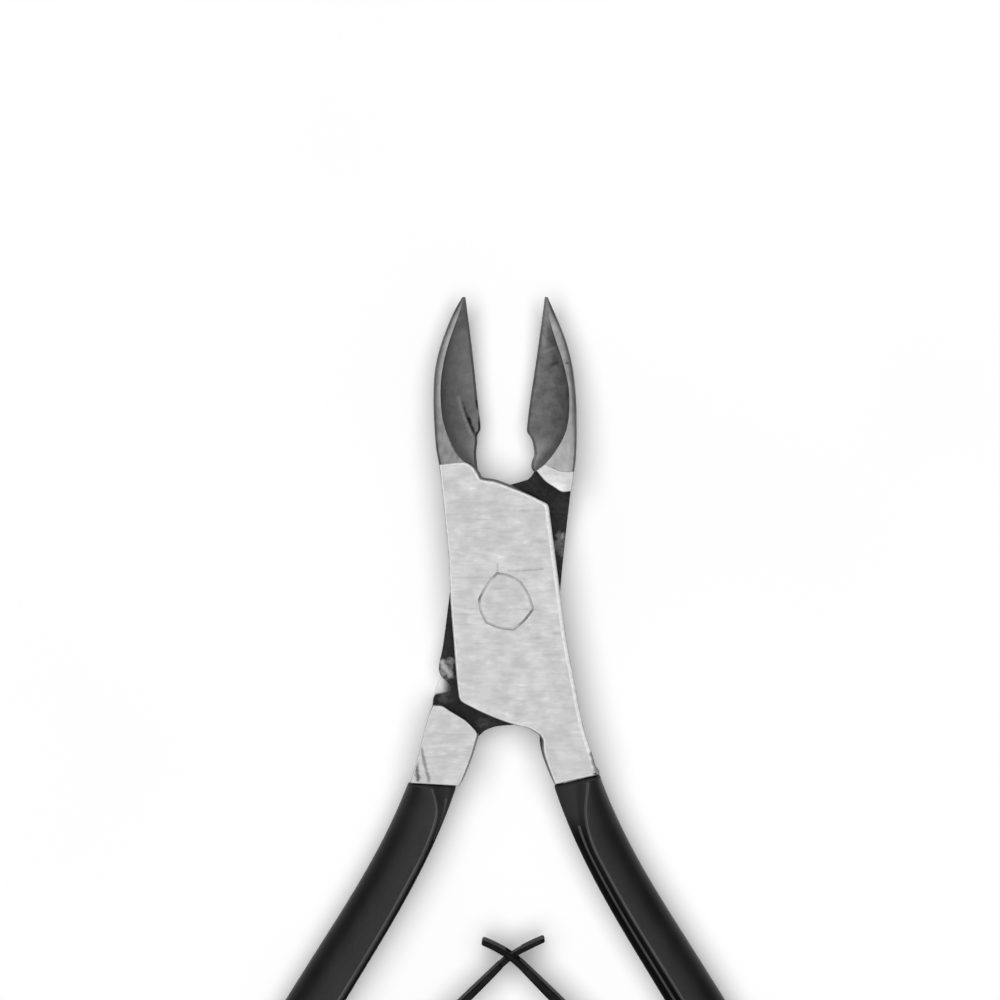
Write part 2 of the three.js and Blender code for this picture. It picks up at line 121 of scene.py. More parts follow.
TONGUE_NECK = 2.4
POCKET_GAP = 0.3
POCKET_OVERRUN = 2.6
POCKET_DEPTH = 3.0
POCKET_SHIFT = 0.8  # of its middle from the foot's, inwards

SCREW_RADIUS = 0.75
SCREW_LENGTH = 2.0  # of the shank, into the tang
SCREW_HEAD_RADIUS = 1.35
SCREW_HEAD_HEIGHT = 0.8
SCREW_CHAMFER = 0.14
SCREW_SLOT = 0.45
SCREW_SLOT_DEPTH = 0.4

# ---- curves --------------------------------------------------------------------------------------
def smooth(keys, spacing=SPACING, steps=None):
    """A smooth line through the keys, with a point about every `spacing` or `steps` from key to key."""
    keys = np.array(keys, float)
    gaps = np.diff(keys, axis=0)
    lengths = np.linalg.norm(gaps, axis=1)
    knots = np.sqrt(lengths)
    speeds = gaps / knots[:, None]
    tangents = np.empty_like(keys)
    tangents[0] = speeds[0]
    tangents[-1] = speeds[-1]
    before, after = knots[:-1, None], knots[1:, None]
    tangents[1:-1] = (speeds[:-1] * after + speeds[1:] * before) / (before + after)
    line = []
    for i, length in enumerate(lengths):
        count = steps or max(1, math.ceil(length / spacing))
        t = np.arange(count)[:, None] / count
        line.append(
            (2 * t**3 - 3 * t**2 + 1) * keys[i]
            + (t**3 - 2 * t**2 + t) * knots[i] * tangents[i]
            + (3 * t**2 - 2 * t**3) * keys[i + 1]
            + (t**3 - t**2) * knots[i] * tangents[i + 1]
        )
    return np.vstack(line + [keys[-1:]])


def outline(*runs):
    """A closed outline from runs that follow one another, and the run that each of its points belongs to."""
    lines = [smooth(run)[:-1] for run in runs]
    owner = np.concatenate([np.full(len(line), i) for i, line in enumerate(lines)])
    return np.vstack(lines), owner


def bezier(corners, count):
    t = np.linspace(0, 1, count)[:, None]
    points = [np.array(c, float) for c in corners]
    while len(points) > 1:
        points = [a + (b - a) * t for a, b in zip(points, points[1:])]
    return points[0]


def turned(vectors, angle):
    vectors = np.asarray(vectors, float)
    c, s = math.cos(angle), math.sin(angle)
    return vectors @ np.array([[c, s], [-s, c]])


def direction(angle):
    return np.array([math.cos(angle), math.sin(angle)])


def square_to(ways):
    """The directions a quarter turn anticlockwise from these."""
    return np.stack([-ways[..., 1], ways[..., 0]], axis=-1)


def profile(keys):
    """A function that runs smoothly through (place, value) keys."""
    line = smooth(keys)
    order = np.argsort(line[:, 0])
    return lambda place: np.interp(place, line[order, 0], line[order, 1])


def ramp(low, high, value):
    """0 below `low`, 1 above `high` and smooth between."""
    t = np.clip((value - low) / (high - low), 0, 1)
    return t * t * (3 - 2 * t)


class Line:
    """A flat line that can be read at any distance along it."""

    def __init__(self, points):
        self.points = np.asarray(points, float)
        steps = np.linalg.norm(np.diff(self.points, axis=0), axis=1)
        self.distances = np.concatenate([[0], np.cumsum(steps)])
        self.length = self.distances[-1]

    def at(self, distance):
        """The points and the directions there."""
        distance = np.asarray(distance, float)
        reach = 0.02

        def read(d):
            columns = [np.interp(d, self.distances, self.points[:, i]) for i in (0, 1)]
            return np.stack(columns, axis=-1)

        low = np.clip(distance - reach, 0, self.length)
        high = np.clip(distance + reach, 0, self.length)
        along = read(high) - read(low)
        along /= np.linalg.norm(along, axis=-1, keepdims=True)
        return read(np.clip(distance, 0, self.length)), along


# ---- bodies --------------------------------------------------------------------------------------
class Body:
    """A closed body: rings of equally many points, with flat ends. Each face has the index of a finish."""

    def __init__(self, rings, finish=0, first=None, last=None):
        count = len(rings[0])
        self.points = np.vstack(rings)
        self.faces = []
        self.finishes = []
        for i in range(len(rings) - 1):
            for k in range(count):
                n = (k + 1) % count
                low, high = i * count, (i + 1) * count
                self.faces.append((low + k, low + n, high + n, high + k))
                self.finishes.append(finish(i, k) if callable(finish) else finish)
        default = 0 if callable(finish) else finish
        self.faces.append(tuple(range(count))[::-1])
        self.finishes.append(default if first is None else first)
        top = (len(rings) - 1) * count
        self.faces.append(tuple(range(top, top + count)))
        self.finishes.append(default if last is None else last)


SHARPEST_SHARE = 0.35  # limits how far a sharp corner moves out


def outward(points):
    """For each corner of a flat outline, the step that moves both of its sides out by one."""
    ahead = np.roll(points, -1, axis=0) - points
    ahead /= np.linalg.norm(ahead, axis=1, keepdims=True)
    normals = -square_to(ahead)
    x, y = points.T
    if np.sum(x * np.roll(y, -1) - np.roll(x, -1) * y) < 0:
        normals = -normals
    both = normals + np.roll(normals, 1, axis=0)
    share = 1 + np.sum(normals * np.roll(normals, 1, axis=0), axis=1, keepdims=True)
    return both / np.maximum(share, SHARPEST_SHARE)


def prism(
    points,
    low,
    high,
    top_round=EDGE_ROUND,
    low_round=EDGE_ROUND,
    flare=0.0,
    bevel=0.0,
    finishes=(0, 0, 0, 0),
):
    """A prism with rounded edges, whose wall stands out by `flare` at the back.

    The top also slopes down to its rounded edge over the width `bevel`. `finishes` are for the top, its
    edge, the wall and the back."""
    out = outward(points)
    rings = []
    marks = []
    top_round, low_round, flare, bevel = (
        np.broadcast_to(v, len(points)).astype(float) for v in (top_round, low_round, flare, bevel)
    )
    edge = high - bevel * BEVEL_SLOPE

    def ring(offset, z):
        rings.append(np.column_stack([points + out * offset[:, None], z]))

    quarter = np.linspace(0, math.pi / 2, ROUND_STEPS + 1)
    for a in quarter:
        ring(flare - low_round * (1 - math.sin(a)), low + low_round * (1 - math.cos(a)))
        marks.append(finishes[2])
    for a in quarter:
        ring(-top_round * (1 - math.cos(a)), edge - top_round * (1 - math.sin(a)))
        marks.append(finishes[1])
    if bevel.any():
        ring(-top_round - bevel, np.full(len(points), high))
    return Body(rings, lambda i, k: marks[i], first=finishes[3], last=finishes[0])


def bar(centre, along, length, across, low, high, finish=0):
    """A square block centred on a flat point, `length` long in the direction `along`."""
    along = np.asarray(along, float)
    side = square_to(along)
    corners = [
        centre + along * (length / 2 * a) + side * (across / 2 * b)
        for a, b in ((-1, -1), (1, -1), (1, 1), (-1, 1))
    ]
    return Body([np.column_stack([corners, np.full(4, z)]) for z in (low, high)], finish)


def rod(profile_keys, finish=0, sides=64):
    """A turned body about the pivot axis, from (radius, height) keys."""
    a = np.linspace(0, 2 * math.pi, sides, endpoint=False)
    circle = np.column_stack([np.cos(a), np.sin(a)])
    return Body([np.column_stack([circle * r, np.full(sides, z)]) for r, z in profile_keys], finish)


def rounded_section(half_width, half_height, rounding, steps):
    """A rectangle about the origin with rounded corners of so many steps."""
    loop = []
    for corner, (x, z) in enumerate(((1, 1), (-1, 1), (-1, -1), (1, -1))):
        for a in math.pi / 2 * (corner + np.arange(steps + 1) / steps):
            centre = np.array([x * (half_width - rounding), z * (half_height - rounding)])
            loop.append(centre + rounding * direction(a))
    return np.array(loop)


def at_rest(points, side):
    """Turns points of the closed drawing into the resting tool."""
    points = np.array(points, float)
    points[:, 0] *= side
    points[:, :2] = turned(points[:, :2], side * OPEN_ANGLE)
    return points


def mesh_object(name, body, side):
    """An object from a body of the closed drawing, at rest, in metres."""
    mesh = bpy.data.meshes.new(name)
    mesh.from_pydata((at_rest(body.points, side) * MM).tolist(), [], body.faces)
    mesh.polygons.foreach_set("material_index", body.finishes)
    edit = bmesh.new()
    edit.from_mesh(mesh)
    bmesh.ops.recalc_face_normals(edit, faces=edit.faces)
    edit.to_mesh(mesh)
    edit.free()
    thing = bpy.data.objects.new(name, mesh)
    bpy.context.scene.collection.objects.link(thing)
    return thing


def combine(thing, bodies, side, operation):
    """Joins bodies of the closed drawing to a thing, or cuts them out of it."""
    others = [mesh_object("part", body, side) for body in bodies]
    for other in others:
        modifier = thing.modifiers.new(operation.lower(), "BOOLEAN")
        modifier.operation = operation
        modifier.solver = "MANIFOLD"
        modifier.object = other
    depsgraph = bpy.context.evaluated_depsgraph_get()
    depsgraph.update()
    made = bpy.data.meshes.new_from_object(thing.evaluated_get(depsgraph))
    thing.modifiers.clear()
    thing.data = made
    for other in others:
        bpy.data.objects.remove(other)
    return thing


def finish_piece(thing, materials, sharp=35.0):
    """Gives a piece its materials and a smooth surface with crisp edges above `sharp` degrees."""
    finishes = [face.material_index for face in thing.data.polygons]
    thing.data.materials.clear()
    for material in materials:
        thing.data.materials.append(material)
    thing.data.polygons.foreach_set("material_index", finishes)
    thing.data.shade_smooth()
    thing.data.set_sharp_from_angle(angle=math.radians(sharp))
    weighted = thing.modifiers.new("weighted normals", "WEIGHTED_NORMAL")
    weighted.keep_sharp = True
    return thing


# ---- materials -----------------------------------------------------------------------------------
DARKEST = 0.004  # tone
NOISE_RANGE = (0.3, 0.7)  # that most of a noise stays in


class Finish:
    """A material under construction. Its patterns are placed in millimetres on the resting tool."""

    def __init__(self, name):
        self.material = bpy.data.materials.new(name)
        self.material.use_nodes = True
        self.tree = self.material.node_tree
        self.shader = next(n for n in self.tree.nodes if n.type == "BSDF_PRINCIPLED")
        place = self.node("ShaderNodeTexCoord")
        scale = self.node("ShaderNodeVectorMath", operation="SCALE")
        self.tree.links.new(place.outputs["Object"], scale.inputs[0])
        scale.inputs["Scale"].default_value = 1 / MM
        self.place = scale.outputs[0]

    def node(self, kind, **settings):
        node = self.tree.nodes.new(kind)
        for key, value in settings.items():
            setattr(node, key, value)
        return node

    def feed(self, socket, value):
        if isinstance(value, bpy.types.NodeSocket):
            self.tree.links.new(value, socket)
        elif isinstance(value, (int, float)) and socket.type in ("RGBA", "VECTOR"):
            socket.default_value = [value] * 3 + ([1] if socket.type == "RGBA" else [])
        else:
            socket.default_value = value

    def math(self, operation, a, b=0.0):
        node = self.node("ShaderNodeMath", operation=operation)
        self.feed(node.inputs[0], a)
        self.feed(node.inputs[1], b)
        return node.outputs[0]

    def add(self, total, *others):
        for other in others:
            total = self.math("ADD", total, other)
        return total

    def vector(self, operation, a, b=(0, 0, 0), output="Vector"):
        node = self.node("ShaderNodeVectorMath", operation=operation)
        self.feed(node.inputs[0], a)
        self.feed(node.inputs[1], b)
        return node.outputs[output]

    def noise(self, scale, stretch=(1, 1, 1), detail=3.0, roughness=0.55, offset=(0, 0, 0)):
        """Fractal noise of about 0 to 1, with `scale` features a millimetre."""
        mapping = self.node("ShaderNodeMapping")
        self.feed(mapping.inputs["Vector"], self.place)
        mapping.inputs["Scale"].default_value = stretch
        mapping.inputs["Location"].default_value = offset
        noise = self.node("ShaderNodeTexNoise")
        self.feed(noise.inputs["Vector"], mapping.outputs[0])
        noise.inputs["Scale"].default_value = scale
        noise.inputs["Detail"].default_value = detail
        noise.inputs["Roughness"].default_value = roughness
        return noise.outputs["Fac"]

    def spread(self, value, low, high, to_low=0.0, to_high=1.0):
        """Maps low..high onto to_low..to_high, held at both ends."""
        node = self.node("ShaderNodeMapRange", interpolation_type="SMOOTHSTEP")
        for socket, v in zip(node.inputs, (value, low, high, to_low, to_high)):
            self.feed(socket, v)
        return node.outputs[0]

    def vary(self, pattern, low, high):
        """Makes a noise run from `low` to `high`."""
        return self.spread(pattern, *NOISE_RANGE, low, high)

    def within(self, reach, limit, softness, wobble, scale):
        """1 where a reach is under its limit and 0 beyond, with an edge as uneven as `wobble`."""
        if wobble:
            reach = self.add(reach, self.spread(self.noise(scale), 0.25, 0.75, -wobble, wobble))
        return self.spread(reach, limit - softness, limit + softness, 1.0, 0.0)

    def spot(self, centre, radius, softness, wobble=0.0, flat=(1, 1)):
        """1 within `radius` of a flat point of the resting tool and 0 outside it."""
        shift = self.vector("SUBTRACT", self.place, (*centre, 0))
        reach = self.vector("LENGTH", self.vector("MULTIPLY", shift, (*flat, 0)), output="Value")
        return self.within(reach, radius, softness, wobble, 1.6)

    def streak(self, start, end, width, softness, wobble=0.0):
        """1 on a flat line of the resting tool of this width and 0 beside it."""
        start = np.array(start, float)
        way = np.array(end, float) - start
        length = float(np.linalg.norm(way))
        way /= length
        shift = self.vector("SUBTRACT", self.place, (*start, 0))
        ahead, aside = (
            self.vector("DOT_PRODUCT", shift, (*axis, 0), output="Value") for axis in (way, square_to(way))
        )
        beyond = self.math("ABSOLUTE", self.math("SUBTRACT", ahead, length / 2))
        beyond = self.math("MAXIMUM", self.math("SUBTRACT", beyond, length / 2), 0.0)
        squares = self.add(self.math("POWER", beyond, 2), self.math("POWER", aside, 2))
        return self.within(self.math("SQRT", squares), width / 2, softness, wobble, 2.5)

    def streaks(self, tone, marks):
        """Adds to a tone along bent lines; each mark is (points, width, what to add)."""
        for points, width, change in marks:
            line = 0.0
            softness = 0.45 * width
            for start, end in zip(points, points[1:]):
                part = self.streak(start, end, width, softness, wobble=softness / 2)
                line = self.math("MAXIMUM", line, part)
            tone = self.add(tone, self.math("MULTIPLY", line, change))
        return self.math("MAXIMUM", tone, DARKEST)

    def along(self, axis, low, high):
        """0 below `low` millimetres along an axis of the resting tool and 1 above `high`."""
        split = self.node("ShaderNodeSeparateXYZ")
        self.feed(split.inputs[0], self.place)
        return self.spread(split.outputs[axis], low, high)

    def mix(self, share, a, b):
        node = self.node("ShaderNodeMix", data_type="FLOAT")
        for index, value in ((0, share), (2, a), (3, b)):
            self.feed(node.inputs[index], value)
        return node.outputs[0]

    def bump(self, height, depth):
        """Relief of `depth` millimetres."""
        node = self.node("ShaderNodeBump")
        node.inputs["Strength"].default_value = 1.0
        node.inputs["Distance"].default_value = depth * MM
        self.feed(node.inputs["Height"], height)
        self.feed(self.shader.inputs["Normal"], node.outputs[0])

    def surface(self, tone, roughness, metallic=1.0, specular=0.5):
        """Sets a neutral tone, a roughness and how metallic the surface is; each is a number or a pattern."""
        self.feed(self.shader.inputs["Base Color"], tone)
        self.feed(self.shader.inputs["Roughness"], roughness)
        self.feed(self.shader.inputs["Metallic"], metallic)
        self.shader.inputs["Specular IOR Level"].default_value = specular
        return self.material


def ground_steel(name, tone, offset, marks=()):
    """Ground faces: short strokes across the tool, a few long scratches and faint clouds."""
    f = Finish(name)
    strokes = f.noise(1.0, stretch=(0.9, 3.3, 1.0), detail=3, roughness=0.6, offset=offset)
    scratches = f.noise(1.0, stretch=(0.28, 5.5, 1.0), detail=2, offset=(5, 3, 0))
    clouds = f.noise(0.8, detail=3, offset=offset)
    shade = f.add(
        f.vary(strokes, tone - 0.022, tone + 0.022),
        f.vary(clouds, -0.025, 0.025),
        f.spread(scratches, 0.6, 0.72, 0.0, -0.04),
        f.spread(strokes, 0.62, 0.74, 0.0, 0.05),
    )
    f.bump(strokes, 0.004)
    return f.surface(f.streaks(shade, marks), f.vary(clouds, 0.5, 0.6), 0.85)


def rivet_seam():
    """The edge of the rivet's head: worn grey, darker at some of its corners."""
    f = Finish("rivet_seam")
    patches = f.noise(0.9, detail=2)
    tone = f.spread(patches, 0.35, 0.65, 0.22, 0.29)
    for centre, radius in (((-0.71, 2.45), 0.35), ((-2.35, 0.47), 0.4), ((1.9, -1.45), 0.9)):
        tone = f.math("SUBTRACT", tone, f.math("MULTIPLY", f.spot(centre, radius, 0.25), 0.12))
    return f.surface(f.math("MAXIMUM", tone, 0.03), 0.5, 0.6)


def notch_shadow_sheet():
    """The step inside the notch, a painted floor shadow: grey, shading to black towards the plate."""
    f = Finish("notch_shadow_sheet")
    grain = f.noise(3.0, detail=3)
    tone = f.mix(f.along("X", -5.7, -4.75), 0.6, 0.06)
    return f.surface(f.add(tone, f.vary(grain, -0.02, 0.02)), 0.55, 0.6)


def polished_edge(marks=()):
    f = Finish("polished_edge")
    lines = f.noise(3.0, detail=3)
    return f.surface(f.streaks(f.vary(lines, 0.5, 0.6), marks), 0.6, 0.7)


def grained(name, scale, detail, tones, roughness, metallic, relief=0.0):
    """A surface with a single fine grain, whose tone runs between two."""
    f = Finish(name)
    grain = f.noise(scale, detail=detail)
    if relief:
        f.bump(grain, relief)
    return f.surface(f.vary(grain, *tones), roughness, metallic)


def dull_side():
    return grained("dull_side", 4.0, 4, (0.06, 0.1), 0.5, 0.8, 0.006)


def dark_lip():
    return grained("dark_lip", 5.0, 4, (0.03, 0.06), 0.55, 0.6)


def tang_steel():
    return grained("tang_steel", 2.5, 4, (0.12, 0.2), 0.5, 1.0, 0.01)


def turned_steel():
    return grained("turned_steel", 6.0, 3, (0.36, 0.46), 0.35, 1.0, 0.006)


def jaw_rim(name, root_tone, marks=()):
    """The jaw outside its hollow: satin steel, of another tone at its root and darker at its tip."""
    f = Finish(name)
    grain = f.noise(3.0, stretch=(1, 0.5, 1), detail=4)
    clouds = f.noise(0.6, detail=2)
    tone = f.mix(f.along("Y", 12.5, 17.5), root_tone, 0.19)
    tone = f.add(tone, f.vary(grain, -0.02, 0.02), f.vary(clouds, -0.02, 0.02))
    tone = f.math("SUBTRACT", tone, f.math("MULTIPLY", f.along("Y", 23.8, 26.2), 0.08))
    f.bump(grain, 0.006)
    return f.surface(f.streaks(tone, marks), 0.5, 0.85)


def jaw_hollow(name, tone, contrast, tip_tone, marks=()):
    """The hollow of the jaw: dark and mottled, a little lighter at its root, of another tone at its tip."""
    f = Finish(name)
    mottle = f.noise(1.1, detail=5, roughness=0.6)
    grain = f.noise(7.0, detail=3)
    shade = f.add(
        f.vary(mottle, tone - contrast, tone + contrast),
        f.vary(grain, -0.008, 0.008),
        f.spread(f.along("Y", 11.5, 17.0), 0, 1, 0.05, 0.0),
        f.math("MULTIPLY", f.along("Y", 23.2, 24.6), tip_tone - tone),
    )
    f.bump(mottle, 0.02)
    return f.surface(f.streaks(shade, marks), 0.55, 0.1, 0.3)


def black_recess(name, worn_places=(), streaks=()):
    """Black oxide on the lap faces, worn through in places."""
    f = Finish(name)
    grain = f.noise(3.5, detail=5)
    worn = 0.0
    for centre, radius, flat, strength in worn_places:
        place = f.spot(centre, radius, 0.3, wobble=0.4, flat=flat)
        patchy = f.spread(f.noise(1.3, detail=3, offset=(*centre, 0)), 0.3, 0.6, 0.3, 1.0)
        worn = f.math("MAXIMUM", worn, f.math("MULTIPLY", f.math("MULTIPLY", place, patchy), strength))
    for start, end, width, strength in streaks:
        line = f.streak(start, end, width, width / 2, wobble=0.1)
        worn = f.math("MAXIMUM", worn, f.math("MULTIPLY", line, strength))
    tone = f.add(f.vary(grain, 0.005, 0.014), f.math("MULTIPLY", worn, 0.3))
    f.bump(grain, 0.01)
    return f.surface(tone, 0.5, 0.5, 0.2)


def black_vinyl(name, tone, roughness, specular, mouth_tone=0.0):
    """Dipped vinyl: black, satin, slightly uneven, and paler by `mouth_tone` at the grip's mouth."""
    f = Finish(name)
    waves = f.noise(0.5, stretch=(1, 0.4, 1), detail=2)
    pores = f.noise(6.0, detail=3)
    dust = f.noise(14.0, detail=2)
    shade = f.add(
        f.vary(waves, tone * 0.8, tone * 1.2),
        f.spread(dust, 0.6, 0.8, 0, 0.008),
        f.math("MULTIPLY", f.along("Y", -20.5, -18.0), mouth_tone),
    )
    f.bump(f.add(f.math("MULTIPLY", waves, 0.6), f.math("MULTIPLY", pores, 0.1)), 0.03)
    return f.surface(shade, f.vary(pores, roughness - 0.04, roughness + 0.04), 0.0, specular)


def black_spring():
    f = Finish("black_spring")
    grain = f.noise(5.0, detail=4)
    clouds = f.noise(0.7, detail=2)
    tone = f.add(f.vary(grain, 0.004, 0.009), f.spread(clouds, 0.4, 0.7, 0, 0.008))
    f.bump(grain, 0.006)
    return f.surface(tone, f.vary(clouds, 0.45, 0.55), 0.0, 0.03)


def pale_floor():
    f = Finish("pale_floor")
    clouds = f.noise(0.02, detail=2)
    return f.surface(f.vary(clouds, 0.93, 0.95), 0.9, 0.0, 0.1)


# ---- handles -------------------------------------------------------------------------------------
upper_handle = bezier([HANDLE_START, (6.9, -29.9), (HANDLE_WIDEST[0], -39.9), HANDLE_WIDEST], 400)
lower_handle = bezier([HANDLE_WIDEST, (HANDLE_WIDEST[0], -65), (12.6, -75.5), HANDLE_END], 400)
handle = Line(np.vstack([upper_handle[:-1], lower_handle]))


def half_width(distance):
    places = np.linspace(0, handle.length, len(HALF_WIDTHS))
    return np.interp(distance, places, HALF_WIDTHS)


SKEW_FADE = 3.0  # length over which a slanted mouth straightens
DOME_SQUARENESS = 0.35


def handle_sweep(sections, distances, tail, overrun=0.0, mouth_skew=(0.0, 0.0)):
    """Rings along the handle. `sections` gives (offset to the outer side, height) at a distance and a
    half width.

    The sweep starts `overrun` before the handle does, `mouth_skew` slants its first ring at the inner and
    the outer side, and `tail` closes its far end with a dome of so many rings."""
    rings = []
    if overrun:
        distances = np.concatenate([[-overrun], distances])
    for distance in distances:
        place = max(distance, 0)
        point, along = handle.at(place)
        half = half_width(place)
        section = sections(place, half)
        share = (section[:, 0] / half + 1) / 2
        skew = mouth_skew[0] * (1 - share) + mouth_skew[1] * share
        skew = skew * (1 - ramp(0, SKEW_FADE, distance)) + min(distance, 0)
        flat = point + square_to(along) * section[:, :1] + along * skew[:, None]
        rings.append(np.column_stack([flat, section[:, 1]]))
    point, along = handle.at(handle.length)
    half = half_width(handle.length)
    section = sections(handle.length, half)
    for i in range(1, tail):
        a = math.pi / 2 * i / tail
        narrow = math.cos(a)
        flat = point + square_to(along) * section[:, :1] * narrow + along * half * math.sin(a)
        height = MIDDLE + (section[:, 1] - MIDDLE) * narrow**DOME_SQUARENESS
        rings.append(np.column_stack([flat, height]))
    return rings


# Heights of the grip's top, at shares of the way from the inner side to the ridge and from the ridge to
# the outer side.
INNER_SLOPE = {
    FRONT: ((0, 3.7), (0.06, 4.15), (0.2, 4.42), (0.47, 4.68), (0.63, 4.75), (0.8, 5.2), (0.93, 5.48)),
    REAR: ((0, 3.7), (0.06, 4.15), (0.16, 4.36), (0.27, 4.54), (0.42, 4.6), (0.8, 5.2), (0.93, 5.48)),
}
OUTER_SLOPE = ((0, 5.58), (0.05, 5.6), (0.13, 5.59), (0.45, 5.42), (0.75, 5.02), (0.93, 4.35), (1, 3.6))
SECTION_STEPS = 2  # points from one height to the next
STEP_LINE = (3, 4)  # heights between which the inner slope has its faint line of painted highlight
# heights of the ridge, which carries a painted highlight
RIDGE_LINE = (6, 8)
DARK_MOUTH = 3  # rings of the rolled edge, painted in the darker shaded vinyl
STEP_RINGS = {FRONT: (10, 1000), REAR: (5, 12)}  # rings between which that painted highlight line is seen
SATIN, RIDGE_HIGHLIGHT, DULL_SHADE = range(3)  # finishes of the grip: satin vinyl, a lighter copy as a painted highlight on the ridge, and a darker dull copy as painted shade on the inner slope and the mouth
# Where the ridge runs: distance from the mouth and offset from the grip's middle, to the outer side.
RIDGES = {
    FRONT: ((0, 0.95), (0.6, 0.79), (2.9, -0.34), (5.1, -0.81), (9, -0.85), (20, -0.85), (50, -0.6), (85, 0)),
    REAR: ((0, 0), (0.6, -0.28), (2.3, -1.23), (5.3, -1.58), (9, -1.6), (20, -1.7), (50, -1.2), (85, 0)),
}
MOUTH_SKEW = {FRONT: (-0.37, 0.0), REAR: (-0.35, 0.75)}


def grip_section(side, inset=0.0):
    """The grip's section, from the inner side over the top to the outer side and back below."""
    ridge_at = profile(RIDGES[side])

    def section(distance, half):
        ridge = float(ridge_at(distance))
        inner = [(-half + share * (ridge + half), z) for share, z in INNER_SLOPE[side]]
        outer = [(ridge + share * (half - ridge), z) for share, z in OUTER_SLOPE]
        top = smooth(inner + outer, steps=SECTION_STEPS)
        bottom = np.column_stack([top[::-1, 0], THICKNESS - top[::-1, 1]])
        middle = np.array([0, MIDDLE])
        sizes = np.array([half, MIDDLE])
        return middle + (np.vstack([top, bottom]) - middle) * (1 - inset / sizes)

    return section


def grip_finish(side, ring, place):
    """The finish of one face of a grip, by its ring and its place round the section: a painted highlight on
    the ridge and on the inner slope's line, painted shade on the rest of the inner slope and on the rolled
    mouth.
    """
    top = SECTION_STEPS * (len(INNER_SLOPE[side]) + len(OUTER_SLOPE) - 1) + 1
    height = min(place, 2 * top - 1 - place) / SECTION_STEPS
    if ring < DARK_MOUTH:
        return DULL_SHADE
    on_step = STEP_LINE[0] <= height < STEP_LINE[1] and STEP_RINGS[side][0] <= ring < STEP_RINGS[side][1]
    if on_step or RIDGE_LINE[0] <= height < RIDGE_LINE[1]:
        return RIDGE_HIGHLIGHT
    return DULL_SHADE if height < RIDGE_LINE[0] else SATIN


def tang_section(_, half):
    """The section of the steel bar inside the grip."""
    return rounded_section(half - TANG_INSET, MIDDLE - TANG_HEIGHT_INSET, TANG_ROUND, 4) + (0, MIDDLE)


def make_grip(side, spring):
    sections = grip_section(side)
    mouth = [0.0, 0.06, 0.15, MOUTH_ROUND]
    straight = np.arange(2 * MOUTH_ROUND, handle.length, GRIP_STEP)
    distances = np.concatenate([mouth, straight, [handle.length]])

    def rolled(distance, half):
        into = 1 - min(distance / MOUTH_ROUND, 1)
        inset = MOUTH_ROUND * (1 - math.sqrt(1 - into**2))
        return grip_section(side, inset)(distance, half) if inset else sections(distance, half)

    def hollow_section(distance, half):
        return tang_section(distance, half + HOLLOW_GAP)

    skew = [s + MOUTH_GAP for s in MOUTH_SKEW[side]]
    rings = handle_sweep(rolled, distances, 14, mouth_skew=skew)
    skin = Body(rings, lambda ring, place: grip_finish(side, ring, place), first=DULL_SHADE)
    sleeve = mesh_object(HAND[side] + "_grip_sleeve", skin, side)
    hollow = Body(handle_sweep(hollow_section, np.arange(0, handle.length, TANG_STEP), 6, 3))
    shift = (POCKET_OVERRUN - POCKET_GAP) / 2
    centre = spring.foot_middle + spring.inward * POCKET_SHIFT + spring.foot_along * shift
    reach = SPRING_WIDTH / 2 + POCKET_GAP
    length = SPRING_FOOT_LENGTH + POCKET_OVERRUN + POCKET_GAP
    pocket = bar(centre, spring.foot_along, length, POCKET_DEPTH, MIDDLE - reach, MIDDLE + reach)
    return combine(sleeve, [hollow, pocket], side, "DIFFERENCE")


# ---- springs -------------------------------------------------------------------------------------
class Spring:
    """The middle line of a leaf spring on the closed half, from the lower end of its foot to its tip."""

    def __init__(self, side):
        self.side = side
        self.thickness = SPRING_THICKNESS[side]
        shift = 0 if side == FRONT else -2 * SPRING_CROSS[0]

        def closed(point):
            return turned(np.array(point, float) + (shift, -SPRING_DROP), -OPEN_ANGLE)

        low = float(np.interp(-SPRING_FOOT_Y, -handle.points[:, 1], handle.distances))
        high = low - SPRING_FOOT_LENGTH
        distances = np.linspace(low, high, 24)
        points, along = handle.at(distances)
        lift = self.thickness / 2 + FOOT_GAP - TANG_INSET
        foot = points - square_to(along) * (half_width(distances) + lift)[:, None]
        foot_end = -along[-1]
        root_way = turned(direction(SPRING_ROOT_ANGLE), -OPEN_ANGLE)
        leaf_way = turned(direction(SPRING_BEND_ANGLE), -OPEN_ANGLE)
        corner = foot[-1] + foot_end * FOOT_BEND
        root = corner + root_way * FOOT_BEND
        leaf_end = closed(SPRING_BEND)
        reach = np.linalg.norm(leaf_end - root)
        pulls = (root + root_way * 0.3 * reach, leaf_end - leaf_way * 0.36 * reach)
        leaf = bezier([root, *pulls, leaf_end], LEAF_POINTS)
        tip = bezier([leaf_end, closed(SPRING_TIP_CORNER), closed(SPRING_TIP[side])], 30)
        self.line = Line(np.vstack([foot, bezier([foot[-1], corner, root], 12)[1:], leaf[1:], tip[1:]]))
        self.foot_middle = foot[len(foot) // 2]
        self.foot_along = -along[len(foot) // 2]
        self.inward = square_to(self.foot_along)
        self.cross = closed(SPRING_CROSS)
        self.cross_along = turned(direction(SPRING_CROSS_ANGLE), -OPEN_ANGLE)
        self.root = root
        self.leaf_middle = leaf[BLEND_POINT]


